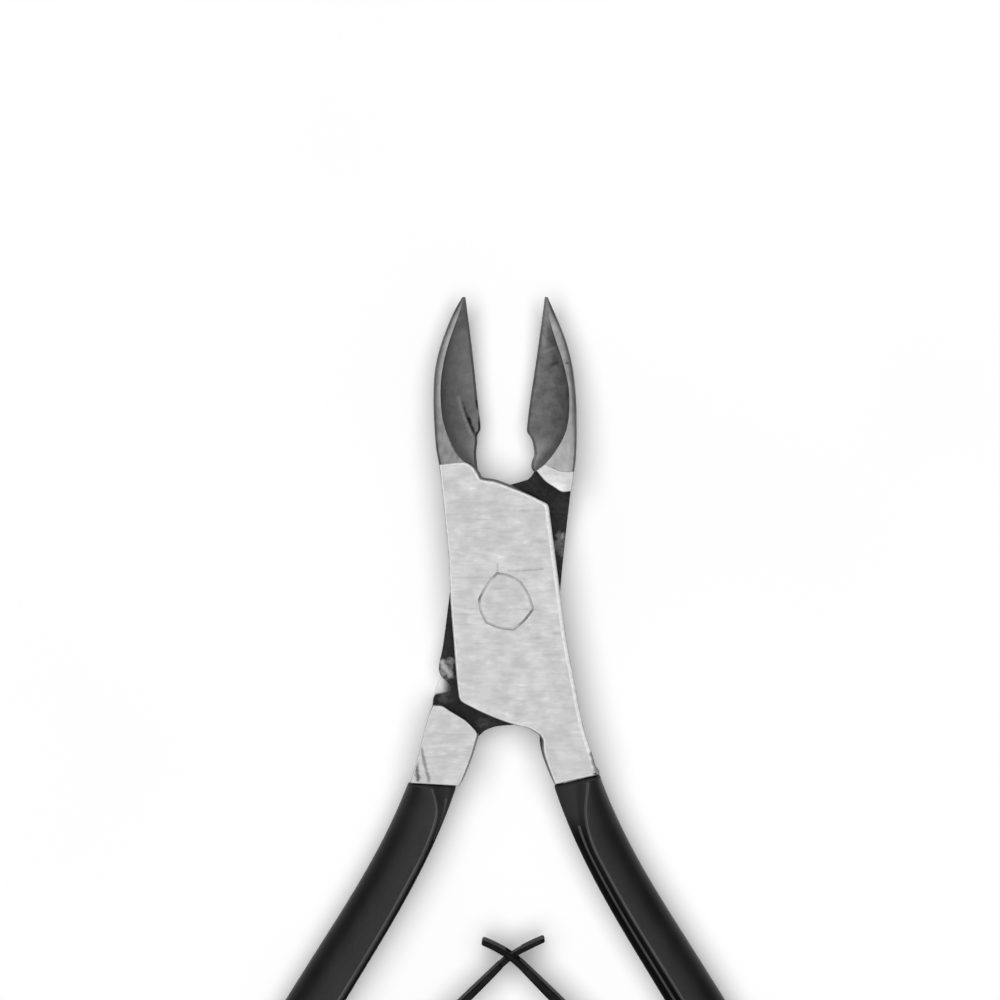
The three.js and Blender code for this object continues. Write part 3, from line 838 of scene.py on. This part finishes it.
def make_spring(spring):
    length = spring.line.length
    end = SPRING_END_ROUND
    body_distances = np.arange(end, length - end, SPRING_STEP)
    distances = np.concatenate([[0, end / 3], body_distances, [length - end / 3, length]])
    insets = np.zeros(len(distances))
    insets[[0, -1]] = end
    insets[[1, -2]] = end / 4
    thinning = 1 - (1 - SPRING_TIP_SHARE) * ramp(length - SPRING_TAPER, length, distances)
    rings = []
    for point, way, inset, thin in zip(*spring.line.at(distances), insets, thinning):
        half_thickness = spring.thickness / 2 * thin - inset
        section = rounded_section(half_thickness, SPRING_WIDTH / 2 - inset, SPRING_ROUND, 3)
        rings.append(np.column_stack([point + square_to(way) * section[:, :1], MIDDLE + section[:, 1]]))
    strip = mesh_object(HAND[spring.side] + "_leaf_spring", Body(rings), spring.side)
    if spring.side == FRONT:
        half = WINDOW_WIDTH / 2
        cuts = [(WINDOW_LENGTH, MIDDLE - half, MIDDLE + half)]
    else:
        half = TONGUE_WIDTH / 2
        cuts = [(TONGUE_NECK, -1, MIDDLE - half), (TONGUE_NECK, MIDDLE + half, THICKNESS + 1)]
    bars = [bar(spring.cross, spring.cross_along, length, 3, low, high) for length, low, high in cuts]
    return combine(strip, bars, spring.side, "DIFFERENCE")


def make_screw(spring):
    """A cheese-head screw through the spring's foot."""
    low = spring.thickness / 2 + 0.02
    top = low + SCREW_HEAD_HEIGHT
    keys = [
        (SCREW_RADIUS, -SCREW_LENGTH),
        (SCREW_RADIUS, low),
        (SCREW_HEAD_RADIUS - 0.05, low),
        (SCREW_HEAD_RADIUS, low + 0.05),
        (SCREW_HEAD_RADIUS, top - SCREW_CHAMFER),
        (SCREW_HEAD_RADIUS - SCREW_CHAMFER * 0.4, top - SCREW_CHAMFER * 0.3),
        (SCREW_HEAD_RADIUS - SCREW_CHAMFER, top),
    ]
    screw = rod(keys, sides=48)
    slot = bar(np.zeros(2), (1, 0), SCREW_SLOT, 4, top - SCREW_SLOT_DEPTH, top + 1)
    for body in (screw, slot):
        across, up, out = body.points.T
        flat = spring.foot_middle + np.outer(out, spring.inward) + np.outer(across, spring.foot_along)
        body.points = np.column_stack([flat, MIDDLE + up])
    thing = mesh_object(HAND[spring.side] + "_screw", screw, spring.side)
    return combine(thing, [slot], spring.side, "DIFFERENCE")


# ---- steel halves --------------------------------------------------------------------------------
GROUND, BRIGHT, SIDE, LIP_DARK, RECESS, RIM, HOLLOW, TANG, NOTCH_SHADOW = range(9)  # finishes of the steel; the last is a painted shadow inside the rear plate's notch

PLATE_TOP = ((-0.9, 11.2), (-0.74, 10.83), (0.46, 10.43), (1.68, 9.8), (3.3, 8.89), (4.09, 8.36), (4.5, 8.1))
PLATE_FREE_SIDE = (
    *((4.78, 7.6), (4.79, 0.5), (4.82, -3.9), (4.98, -6.5)),
    *((5.18, -10), (5.34, -11.7), (5.66, -13.5)),
)
REAR_NOTCH = (
    *((4.96, -6.55), (4.74, -7.05), (4.25, -7.45), (3.75, -7.8)),
    *((3.72, -8.3), (4.41, -8.64), (5.02, -8.85), (5.09, -10)),
)
# outline of the low sheet that carries the painted shadow inside the rear plate's notch
NOTCH_SHADOW_OUTLINE = ((4.6, -7.1), (4.9, -7.9), (5.0, -8.75), (3.4, -8.8), (3.4, -7.5), (4.2, -7.1))
MOUTH_OUTER = {FRONT: (6.18, -15.7), REAR: (6.12, -16.46)}
MOUTH_INNER = {FRONT: (2.25, -16.08), REAR: (1.92, -16.16)}
CROTCH = (1.49, -11.68)


def front_face_outline():
    """The ground face of the front half: the lap plate, the root of the jaw and the root of the handle."""
    return outline(
        ((-4.12, 12.5), (-3, 12.5), (-1.95, 12.44)),
        ((-1.95, 12.44), (-1.5, 12.17), (-1.12, 11.72), (-0.9, 11.2)),
        PLATE_TOP,
        ((4.5, 8.1), (4.7, 7.9), (4.78, 7.6)),
        PLATE_FREE_SIDE + ((5.97, -15.3), MOUTH_OUTER[FRONT]),
        (MOUTH_OUTER[FRONT], MOUTH_INNER[FRONT]),
        (MOUTH_INNER[FRONT], (2.11, -15.58), (1.78, -14.15), (1.62, -13), (1.69, -12.14), CROTCH),
        (CROTCH, (0.71, -11.06), (-0.36, -10.62), (-1.75, -9.96), (-3.37, -9.02), (-4.56, -8.21)),
        ((-4.56, -8.21), (-4.9, -7.9), (-5, -7.5)),
        (
            *((-5, -7.5), (-4.98, -6.07), (-4.82, -2.6), (-4.65, 0.82)),
            *((-4.36, 4.25), (-4.23, 7.7), (-4.12, 12.5)),
        ),
    )


# Runs of that outline.
WIDE_RUNS = (3, 4)
THROAT_RUNS = (1, 2)
CROTCH_RUNS = (6, 7)
ROOT_CROTCH_RUNS = (2,)  # of the outline of a handle's root
FADE_PASSES = 6


def jaw_root_outline(side):
    """The root of a jaw, down to the shoulder that the other half's plate stops short of."""
    if side == FRONT:
        outer = -4.18
        top = ((outer, 12.6), (-1.88, 12.55))
    else:
        outer = -4.42
        top = ((outer, 11.92), (-3.47, 11.83), (-2.86, 11.9), (-2.31, 12.09), (-1.85, 12.25))
    shoulder = ((-1.16, 11.6), (-2.04, 10.8), (-2.97, 10.32), (-3.61, 10.05), (outer, 10.24))
    return outline(((outer, 10.24), top[0]), top, (top[-1], (-1.47, 11.85), (-1.16, 11.6)), shoulder)


def handle_root_outline(side):
    """The root of a handle, from its shoulder to the mouth of the grip."""
    if side == FRONT:
        outer = ((5.09, -10), (5.26, -11.7), (5.59, -13.5), (5.97, -15.3))
        crotch = ((2.0, -15.58), (1.6, -14.15), (1.42, -13), (1.46, -12.1), (1.7, -11.6), (2.1, -11.3))
        shoulder = ((3.51, -10.2), (4.25, -9.7))
    else:
        outer = ((5.22, -10.2), (5.42, -11.3), (5.58, -12.65), (5.75, -14.1), (5.95, -15.5))
        crotch = ((1.73, -15.62), (1.27, -13.82), (0.98, -12.05), (0.93, -11.53), (1.17, -11.21))
        shoulder = ((2.04, -10.54), (3.51, -9.87), (4.25, -9.53))
    start = (5.0, -9.6)
    return outline(
        (start, *outer, MOUTH_OUTER[side]),
        (MOUTH_OUTER[side], MOUTH_INNER[side]),
        (MOUTH_INNER[side], *crotch),
        (crotch[-1], *shoulder, start),
    )


def rear_plate_outline():
    """The lap plate of the rear half, running on inside its roots."""
    return outline(
        ((-4.4, 11.4), (-1.05, 11.5)),
        ((-1.05, 11.5), (-0.9, 11.15), (-0.6, 10.75)),
        ((-0.6, 10.75), (1.75, 9.7), (3.5, 8.8), (4.4, 8.2), (4.76, 7.6)),
        ((4.76, 7.6), (4.86, 0.4), (4.85, -3.1), (4.88, -4.86), (4.98, -5.9), (4.96, -6.55)),
        REAR_NOTCH,
        ((5.09, -10), (4.9, -12.0)),
        ((4.9, -12.0), (1.3, -12.0)),
        (
            *((1.3, -12.0), (0.86, -11.9), (0.29, -11.3), (-0.38, -10.92)),
            *((-1.22, -10.66), (-2.3, -10.4), (-4, -8.75), (-4.85, -8.05)),
        ),
        ((-4.85, -8.05), (-4.98, -7.5)),
        ((-4.98, -7.5), (-4.8, -2.5), (-4.54, 3), (-4.4, 9.5), (-4.4, 11.4)),
    )


def rivet_outline(grow=0.0):
    corners = np.array(RIVET_CORNERS)
    loop = []
    for a, b in zip(corners, np.roll(corners, -1, axis=0)):
        middle = (a + b) / 2
        bulged = middle * (1 + RIVET_BULGE / np.linalg.norm(middle))
        loop += [a * 0.97, a + (b - a) * 0.15, bulged, a + (b - a) * 0.85]
    points = smooth(loop + [loop[0]])[:-1]
    return points * (1 + grow / np.linalg.norm(points, axis=1, keepdims=True))


# Lines of the jaws, as (y, x).
JAW_OUTER = {
    FRONT: (
        *((10.5, -4.12), (12.4, -4.12), (13.8, -4.2), (15.5, -4.13), (17.2, -4.0), (18.9, -3.79)),
        *((20.6, -3.46), (22.26, -2.89), (23.9, -2.09), (25.5, -1.15), (26.68, -0.26)),
    ),
    REAR: (
        *((10.5, -4.4), (11.2, -4.42), (12.94, -4.44), (14.65, -4.31), (16.36, -4.09), (18.06, -3.83)),
        *((19.75, -3.46), (21.4, -2.98), (23.06, -2.3), (24.68, -1.42), (26.68, -0.2)),
    ),
}
JAW_INNER = {
    FRONT: (
        *((10.5, -0.85), (11.5, -0.9), (12.2, -0.9), (13.3, -0.82), (14.0, -0.64), (14.6, -0.56)),
        *((15.15, -0.2), (15.6, -0.16), (17.6, -0.14), (20.7, -0.06), (24, -0.02), (26.68, -0.02)),
    ),
    REAR: (
        *((10.5, -1.0), (11.48, -1.0), (11.87, -0.76), (12.45, -0.75), (12.9, -0.88), (13.75, -0.7)),
        *((14.43, -0.4), (14.85, 0.0), (15.4, 0.07), (17.6, 0.09), (20.7, 0.03), (24, 0.0), (26.68, 0.0)),
    ),
}
HOLLOW_EDGE = {
    FRONT: (
        *((10.5, -0.85), (11.26, -0.92), (12.25, -1.82), (13.3, -2.55), (14.7, -3.04), (16.1, -3.3)),
        *((17.5, -3.32), (18.9, -3.18), (20.2, -2.92), (21.6, -2.47), (22.9, -1.93), (24.2, -1.28)),
        *((25.5, -0.63), (26.6, -0.16)),
    ),
    REAR: (
        *((10.5, -0.9), (11.4, -1.15), (12.3, -1.9), (13.2, -2.47), (14.7, -3.13), (16.1, -3.37)),
        *((17.5, -3.29), (18.9, -3.08), (20.2, -2.66), (21.5, -2.14), (22.8, -1.51), (24.2, -0.87)),
        *((25.5, -0.4), (26.6, -0.12)),
    ),
}
FRONT_TAPER = ((10.4, 5.56), (12.4, 5.56), (14, 5.4), (18, 4.72), (23, 3.9), (27.6, 3.4))
BACK_TAPER = ((10.4, 0.0), (12.4, 0.0), (16.5, 0.75), (20, 1.15), (23, 1.75), (27.6, 3.0))
HOLLOW_CENTRE = (18.35, 5.4)
HOLLOW_RADII = (8.6, 2.6)
CUTTING_BEVEL = 0.2
RIM_SHARE = 0.08  # the rim is at least this share of the jaw wide
RIM_DROP = 0.05  # of its outer edge
RIM_ROUND = 0.24
JAW_START = {FRONT: 10.9, REAR: 11.55}
JAW_NARROWS = 25.8
JAW_END = 26.62
JAW_STEP = 0.13  # between the jaw's rings
HOLLOW_STEPS = 26
HOLLOW_ARC = 0.99  # share of a quarter arc that the hollow's section follows
CREASE = ((14.4, -0.7), (16, -1.25), (18.3, -1.66))
CREASE_TOP = 18.3
CREASE_FULL = 15.6  # below here it has its whole depth
CREASE_WIDTH = 0.18
CREASE_DEPTH = 0.5


def make_jaw(side):
    shapes = (JAW_OUTER[side], JAW_INNER[side], FRONT_TAPER, BACK_TAPER, HOLLOW_EDGE[side], CREASE)
    profiles = [profile(shape) for shape in shapes]
    straight = np.arange(JAW_START[side], JAW_NARROWS, JAW_STEP)
    rings = []
    for y in np.concatenate([straight, np.linspace(JAW_NARROWS, JAW_END, 11)]):
        outer, inner, top, back, hollow_edge, crease = (float(f(y)) for f in profiles)
        width = inner - outer
        height = top - back
        bevel = min(CUTTING_BEVEL, 0.3 * width)
        edge = min(max(hollow_edge, outer + RIM_SHARE * width), inner - bevel)
        share = min(abs(y - HOLLOW_CENTRE[0]) / HOLLOW_RADII[0], 1)
        floor = HOLLOW_CENTRE[1] - HOLLOW_RADII[1] * math.sqrt(1 - share**2)
        floor = min(max(floor, back + 0.5), top - 0.02)
        round_by = min(RIM_ROUND, 0.3 * width)
        drop = RIM_DROP * min(width / 3, 1)
        ring = []
        marks = []

        def add(x, z, finish):
            ring.append((x, y, z))
            marks.append(finish)

        add(inner, back + 0.12, SIDE)
        add(inner, max(floor - 0.35, back + 0.25), SIDE if side == FRONT else HOLLOW)
        for u in np.arange(HOLLOW_STEPS + 1) / HOLLOW_STEPS:
            x = inner - bevel + (edge - inner + bevel) * u
            rise = (1 - math.sqrt(1 - (HOLLOW_ARC * u) ** 2)) / (1 - math.sqrt(1 - HOLLOW_ARC**2))
            z = floor + (top - floor) * rise
            if side == FRONT and y < CREASE_TOP:
                depth = CREASE_DEPTH * ramp(CREASE_TOP, CREASE_FULL, y) * ramp(0, CREASE_WIDTH, x - crease)
                z = max(z - depth, back + 0.35)
            add(x, min(z, top), HOLLOW)
        marks[-1] = RIM
        for v in (0.25, 0.5, 0.75, 1):
            add(edge + (outer + round_by - edge) * v, top - drop * v**4, RIM)
        for turn in (0.15 * math.pi, 0.3 * math.pi, 0.5 * math.pi):
            add(outer + round_by * (1 - math.sin(turn)), top - drop - round_by * (1 - math.cos(turn)), RIM)
        marks[-1] = SIDE
        for across, up in ((0, 0.3), (0.06, 0.12), (0.2, 0.02), (0.5, 0)):
            add(outer + across * width, back + up * height, SIDE)
        add(inner - 0.12, back, SIDE)
        rings.append(np.array(ring))
    return Body(rings, lambda i, k: marks[k], first=SIDE, last=RIM)


def faded(run, wanted, amount):
    """`amount` along the wanted runs of an outline and 0 elsewhere, fading from one to the other."""
    values = np.where(np.isin(run, wanted), amount, 0.0)
    for _ in range(FADE_PASSES):
        values = (values + np.roll(values, 1) + np.roll(values, -1)) / 3
    return values


def steel_prism(shape, low, high, low_round=EDGE_ROUND, finishes=(RECESS, SIDE, SIDE, GROUND), **options):
    """A block of a half whose top lies on the lap."""
    return prism(shape, low, high, HIDDEN_ROUND, low_round, finishes=finishes, **options)


def make_half(side):
    low_lap = MIDDLE - LAP_GAP / 2
    high_lap = MIDDLE + LAP_GAP / 2
    inside = 0.15  # how far blocks run into each other
    jaw_root, _ = jaw_root_outline(side)
    handle_root, root_run = handle_root_outline(side)
    bore = RIVET_RADIUS + BORE_GAP
    if side == FRONT:
        points, run = front_face_outline()
        bevel = PLATE_BEVEL + faded(run, THROAT_RUNS, THROAT_BEVEL) + faded(run, WIDE_RUNS, WIDE_BEVEL)
        flare = faded(run, THROAT_RUNS, THROAT_LIP) + faded(run, CROTCH_RUNS, CROTCH_LIP)
        finishes = (GROUND, BRIGHT, LIP_DARK, RECESS)
        face = prism(points, high_lap, THICKNESS, EDGE_ROUND, HIDDEN_ROUND, flare, bevel, finishes)
        blocks = [
            steel_prism(jaw_root, 0, high_lap + inside),
            steel_prism(handle_root, 0, high_lap + inside, finishes=(RECESS, LIP_DARK, LIP_DARK, GROUND)),
        ]
        pocket = prism(rivet_outline(RIVET_LINE), THICKNESS - RIVET_HEAD_DEPTH, THICKNESS + 1, 0.02, 0.02)
        pocket.finishes = [LIP_DARK] * len(pocket.finishes)
        cuts = [pocket, rod([(bore, -1), (bore, SHANK_TOP)], SIDE)]
    else:
        face = steel_prism(rear_plate_outline()[0], 0, low_lap, finishes=(RECESS, RECESS, SIDE, GROUND))
        shadow_sheet, _ = outline(NOTCH_SHADOW_OUTLINE + NOTCH_SHADOW_OUTLINE[:1])
        flare = faded(root_run, ROOT_CROTCH_RUNS, CROTCH_LIP)
        settings = {"low_round": HIDDEN_ROUND, "finishes": (GROUND, BRIGHT, SIDE, RECESS)}
        blocks = [
            # a low sheet in the notch with a painted floor shadow, darkening towards the plate
            prism(shadow_sheet, 0, NOTCH_SHADOW_TOP, 0.02, 0.02, finishes=(NOTCH_SHADOW, NOTCH_SHADOW, NOTCH_SHADOW, GROUND)),
            prism(jaw_root, low_lap - inside, THICKNESS, **settings),
            prism(handle_root, low_lap - inside, THICKNESS, flare=flare, **settings),
            # a hair smaller than the root above it, so that their walls don't coincide
            steel_prism(handle_root * 0.999, 0, low_lap, finishes=(SIDE, SIDE, SIDE, GROUND)),
        ]
        head = RIVET_BACK_RADIUS + BORE_GAP
        cuts = [rod([(head, -1), (head, RIVET_HEAD_DEPTH)], SIDE), rod([(bore, -1), (bore, THICKNESS)], SIDE)]
    half = mesh_object("front_steel" if side == FRONT else "rear_steel", face, side)
    tang = Body(handle_sweep(tang_section, np.arange(0, handle.length, TANG_STEP), 8, 2), TANG)
    combine(half, blocks + [make_jaw(side), tang], side, "UNION")
    return combine(half, cuts, side, "DIFFERENCE")


def make_rivet():
    bottom = THICKNESS - RIVET_HEAD_DEPTH + 0.05
    head = prism(rivet_outline(), bottom, THICKNESS, 0.01, 0.03, bevel=RIVET_BEVEL, finishes=(0, 1, 0, 0))
    chamfer = 0.12
    shank = [
        (RIVET_BACK_RADIUS - chamfer, 0),
        (RIVET_BACK_RADIUS, chamfer),
        (RIVET_BACK_RADIUS, RIVET_HEAD_DEPTH - 0.1),
        (RIVET_RADIUS, RIVET_HEAD_DEPTH - 0.05),
        (RIVET_RADIUS, SHANK_TOP),
    ]
    return combine(mesh_object("rivet", head, FRONT), [rod(shank)], FRONT, "UNION")


# ---- the object ----------------------------------------------------------------------------------
FACE_TONE = 0.345
# dark lines: the first is painted shade of a filed facet on the right handle's root, the others are thin
# lines near the rivet
front_streaks_and_facet_shade = [
    (((7.43, -13.37), (7.65, -14.06), (7.82, -14.66)), 0.3, -0.2),
    (((-0.67, 3.3), (-0.68, 2.62)), 0.16, -0.07),
    (((0.23, 2.71), (1.8, 2.74), (3.24, 2.88)), 0.14, -0.08),
    (((-1.66, 0.21), (4.1, 1.08)), 0.1, -0.035),
]
# the first two are painted shade of filed facets on the left handle's root; the last lightens a broad patch
rear_facet_shade_and_streaks = [
    (((-7.25, -12.51), (-6.91, -13.89), (-6.56, -15.35)), 0.24, -0.17),
    (((-7.68, -13.9), (-7.5, -15.2)), 0.36, -0.26),
    (((2.9, 10.9), (4.3, 9.9)), 1.6, 0.07),
]
front_ground = ground_steel("front_ground_steel", FACE_TONE, (0, 0, 0), front_streaks_and_facet_shade)
rear_ground = ground_steel("rear_ground_steel", FACE_TONE, (11, 4, 0), rear_facet_shade_and_streaks)
# the dark line on the polished edge is painted shade of the filed facet on the right handle's root
bright = polished_edge([(((7.42, -13.1), (7.62, -13.9), (7.86, -14.75)), 0.35, -0.35)])
sides, lip, tang_finish = dull_side(), dark_lip(), tang_steel()
front_recess = black_recess("front_recess", [((0, -9), 1.0, (1, 1), 0.3)])
rear_recess = black_recess(
    "rear_recess",
    [
        ((4.9, 4.8), 0.8, (1.3, 0.8), 0.25),
        ((4.75, 4.65), 0.2, (1, 1), 0.5),
        ((-5.1, -5.9), 0.7, (1, 0.8), 0.5),
        ((-1.85, -10.6), 0.35, (0.8, 1), 0.16),
        ((-5.1, -8.45), 0.4, (0.8, 1.2), 0.1),
    ],
    [((5.01, 5.87), (4.9, 5.4), 0.22, 0.5), ((-5.5, -5.3), (-4.8, -6.3), 0.45, 0.85)],
)
front_rim = jaw_rim("front_jaw_rim", 0.12)
rear_rim = jaw_rim("rear_jaw_rim", 0.215, [(((5.28, 20.65), (5.4, 20.62)), 0.2, -0.12)])
# a painted highlight beside the crease in the front jaw's hollow, and painted shade along the crease
front_crease_light_and_shade = [
    (((-4.05, 17.7), (-3.75, 16.8), (-3.38, 15.7), (-2.9, 14.5)), 0.3, 0.06),
    (((-3.7, 17.2), (-3.4, 16.4), (-3.05, 15.57)), 0.3, -0.04),
    (((-3.2, 15.9), (-2.75, 14.75)), 0.26, -0.08),
]
rear_hollow_marks = [
    (((3.4, 23.6), (3.35, 22.3)), 0.4, 0.07),
    (((3.3, 21.6), (4.6, 22.1)), 0.22, 0.04),
    (((4.1, 20.6), (4.45, 20.7)), 0.35, -0.04),
    (((3.75, 14.0), (3.2, 13.2), (2.55, 11.9)), 0.7, 0.05),
]
front_hollow = jaw_hollow("front_hollow", 0.108, 0.016, 0.06, front_crease_light_and_shade)
rear_hollow = jaw_hollow("rear_hollow", 0.1, 0.03, 0.165, rear_hollow_marks)

shared = [bright, sides, lip]
front_finishes = [front_ground, *shared, front_recess, front_rim, front_hollow, tang_finish]
rear_finishes = [rear_ground, *shared, rear_recess, rear_rim, rear_hollow, tang_finish, notch_shadow_sheet()]
front = finish_piece(make_half(FRONT), front_finishes)
rear = finish_piece(make_half(REAR), rear_finishes)
rivet = finish_piece(make_rivet(), [ground_steel("rivet_steel", FACE_TONE, (3, 8, 0)), rivet_seam()])
for piece, body, node, slot in (
    (front, "front_half", "front_half", "ground_steel"),
    (rear, "rear_half", "rear_half", "ground_steel"),
    (rivet, "front_half", "pivot_rivet", "rivet_steel"),
):
    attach(piece, body)
    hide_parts(node)

# satin black vinyl, a lighter copy as a painted highlight on the ridge, and a darker, duller copy as painted
# shade on the inner slope and the mouth
vinyl = [
    black_vinyl("black_vinyl", 0.0072, 0.47, 0.16, 0.004),
    black_vinyl("vinyl_ridge_highlight", 0.05, 0.44, 0.2),
    black_vinyl("dull_shaded_vinyl", 0.004, 0.6, 0.04, 0.027),
]
spring_finish = black_spring()
screw_finish = turned_steel()
for side, body, leaf_body in ((FRONT, "front_half", "right_spring"), (REAR, "rear_half", "left_spring")):
    hand = HAND[side]
    spring = Spring(side)
    grip = finish_piece(make_grip(side, spring), vinyl, 60)
    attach(grip, body)
    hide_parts(hand + "_grip")
    strip = finish_piece(make_spring(spring), [spring_finish])
    start, end = (at_rest([(*p, MIDDLE)], side)[0] * MM for p in (spring.root, spring.leaf_middle))
    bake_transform(strip)
    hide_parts(hand + "_spring_root", hand + "_spring_leaf")
    screw = finish_piece(make_screw(spring), [screw_finish])
    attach(screw, body)
    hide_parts(hand + "_spring_screw")

# ---- floor, light and camera ---------------------------------------------------------------------
FLOOR_SIZE = 12.0
FLOOR_DROP = 0.02 * MM  # keeps the floor just clear of the tool
FRAME_WIDTH = 86.0 * MM  # seen by the camera at the front face
LENS = 150.0
SENSOR = 36.0
VIEW_CENTRE = (-0.456 * MM, 8.815 * MM)
LIGHT_ANGLE = math.radians(60)
LIGHT_STRENGTH = 3.1
LIGHT_TILT = (math.radians(-2), math.radians(-3), 0)
SKY = 0.08

bpy.ops.mesh.primitive_plane_add(size=FLOOR_SIZE, location=(0, 0, -FLOOR_DROP))
floor = bpy.context.object
floor.name = "floor"
floor.data.materials.append(pale_floor())

sun = bpy.data.objects.new("soft_light", bpy.data.lights.new("soft_light", "SUN"))
sun.data.angle = LIGHT_ANGLE
sun.data.energy = LIGHT_STRENGTH
sun.rotation_euler = LIGHT_TILT
bpy.context.scene.collection.objects.link(sun)

world = bpy.data.worlds.new("studio")
world.use_nodes = True
background = world.node_tree.nodes["Background"]
background.inputs["Color"].default_value = (1, 1, 1, 1)
background.inputs["Strength"].default_value = SKY
scene = bpy.context.scene
scene.world = world
scene.view_settings.view_transform = "Standard"

camera = bpy.data.objects.new("camera", bpy.data.cameras.new("camera"))
camera.data.lens = LENS
camera.data.sensor_width = SENSOR
camera.data.clip_start = 0.01
camera.data.clip_end = 50.0
camera.location = (*VIEW_CENTRE, THICKNESS * MM + FRAME_WIDTH * LENS / SENSOR)
scene.collection.objects.link(camera)
scene.camera = camera
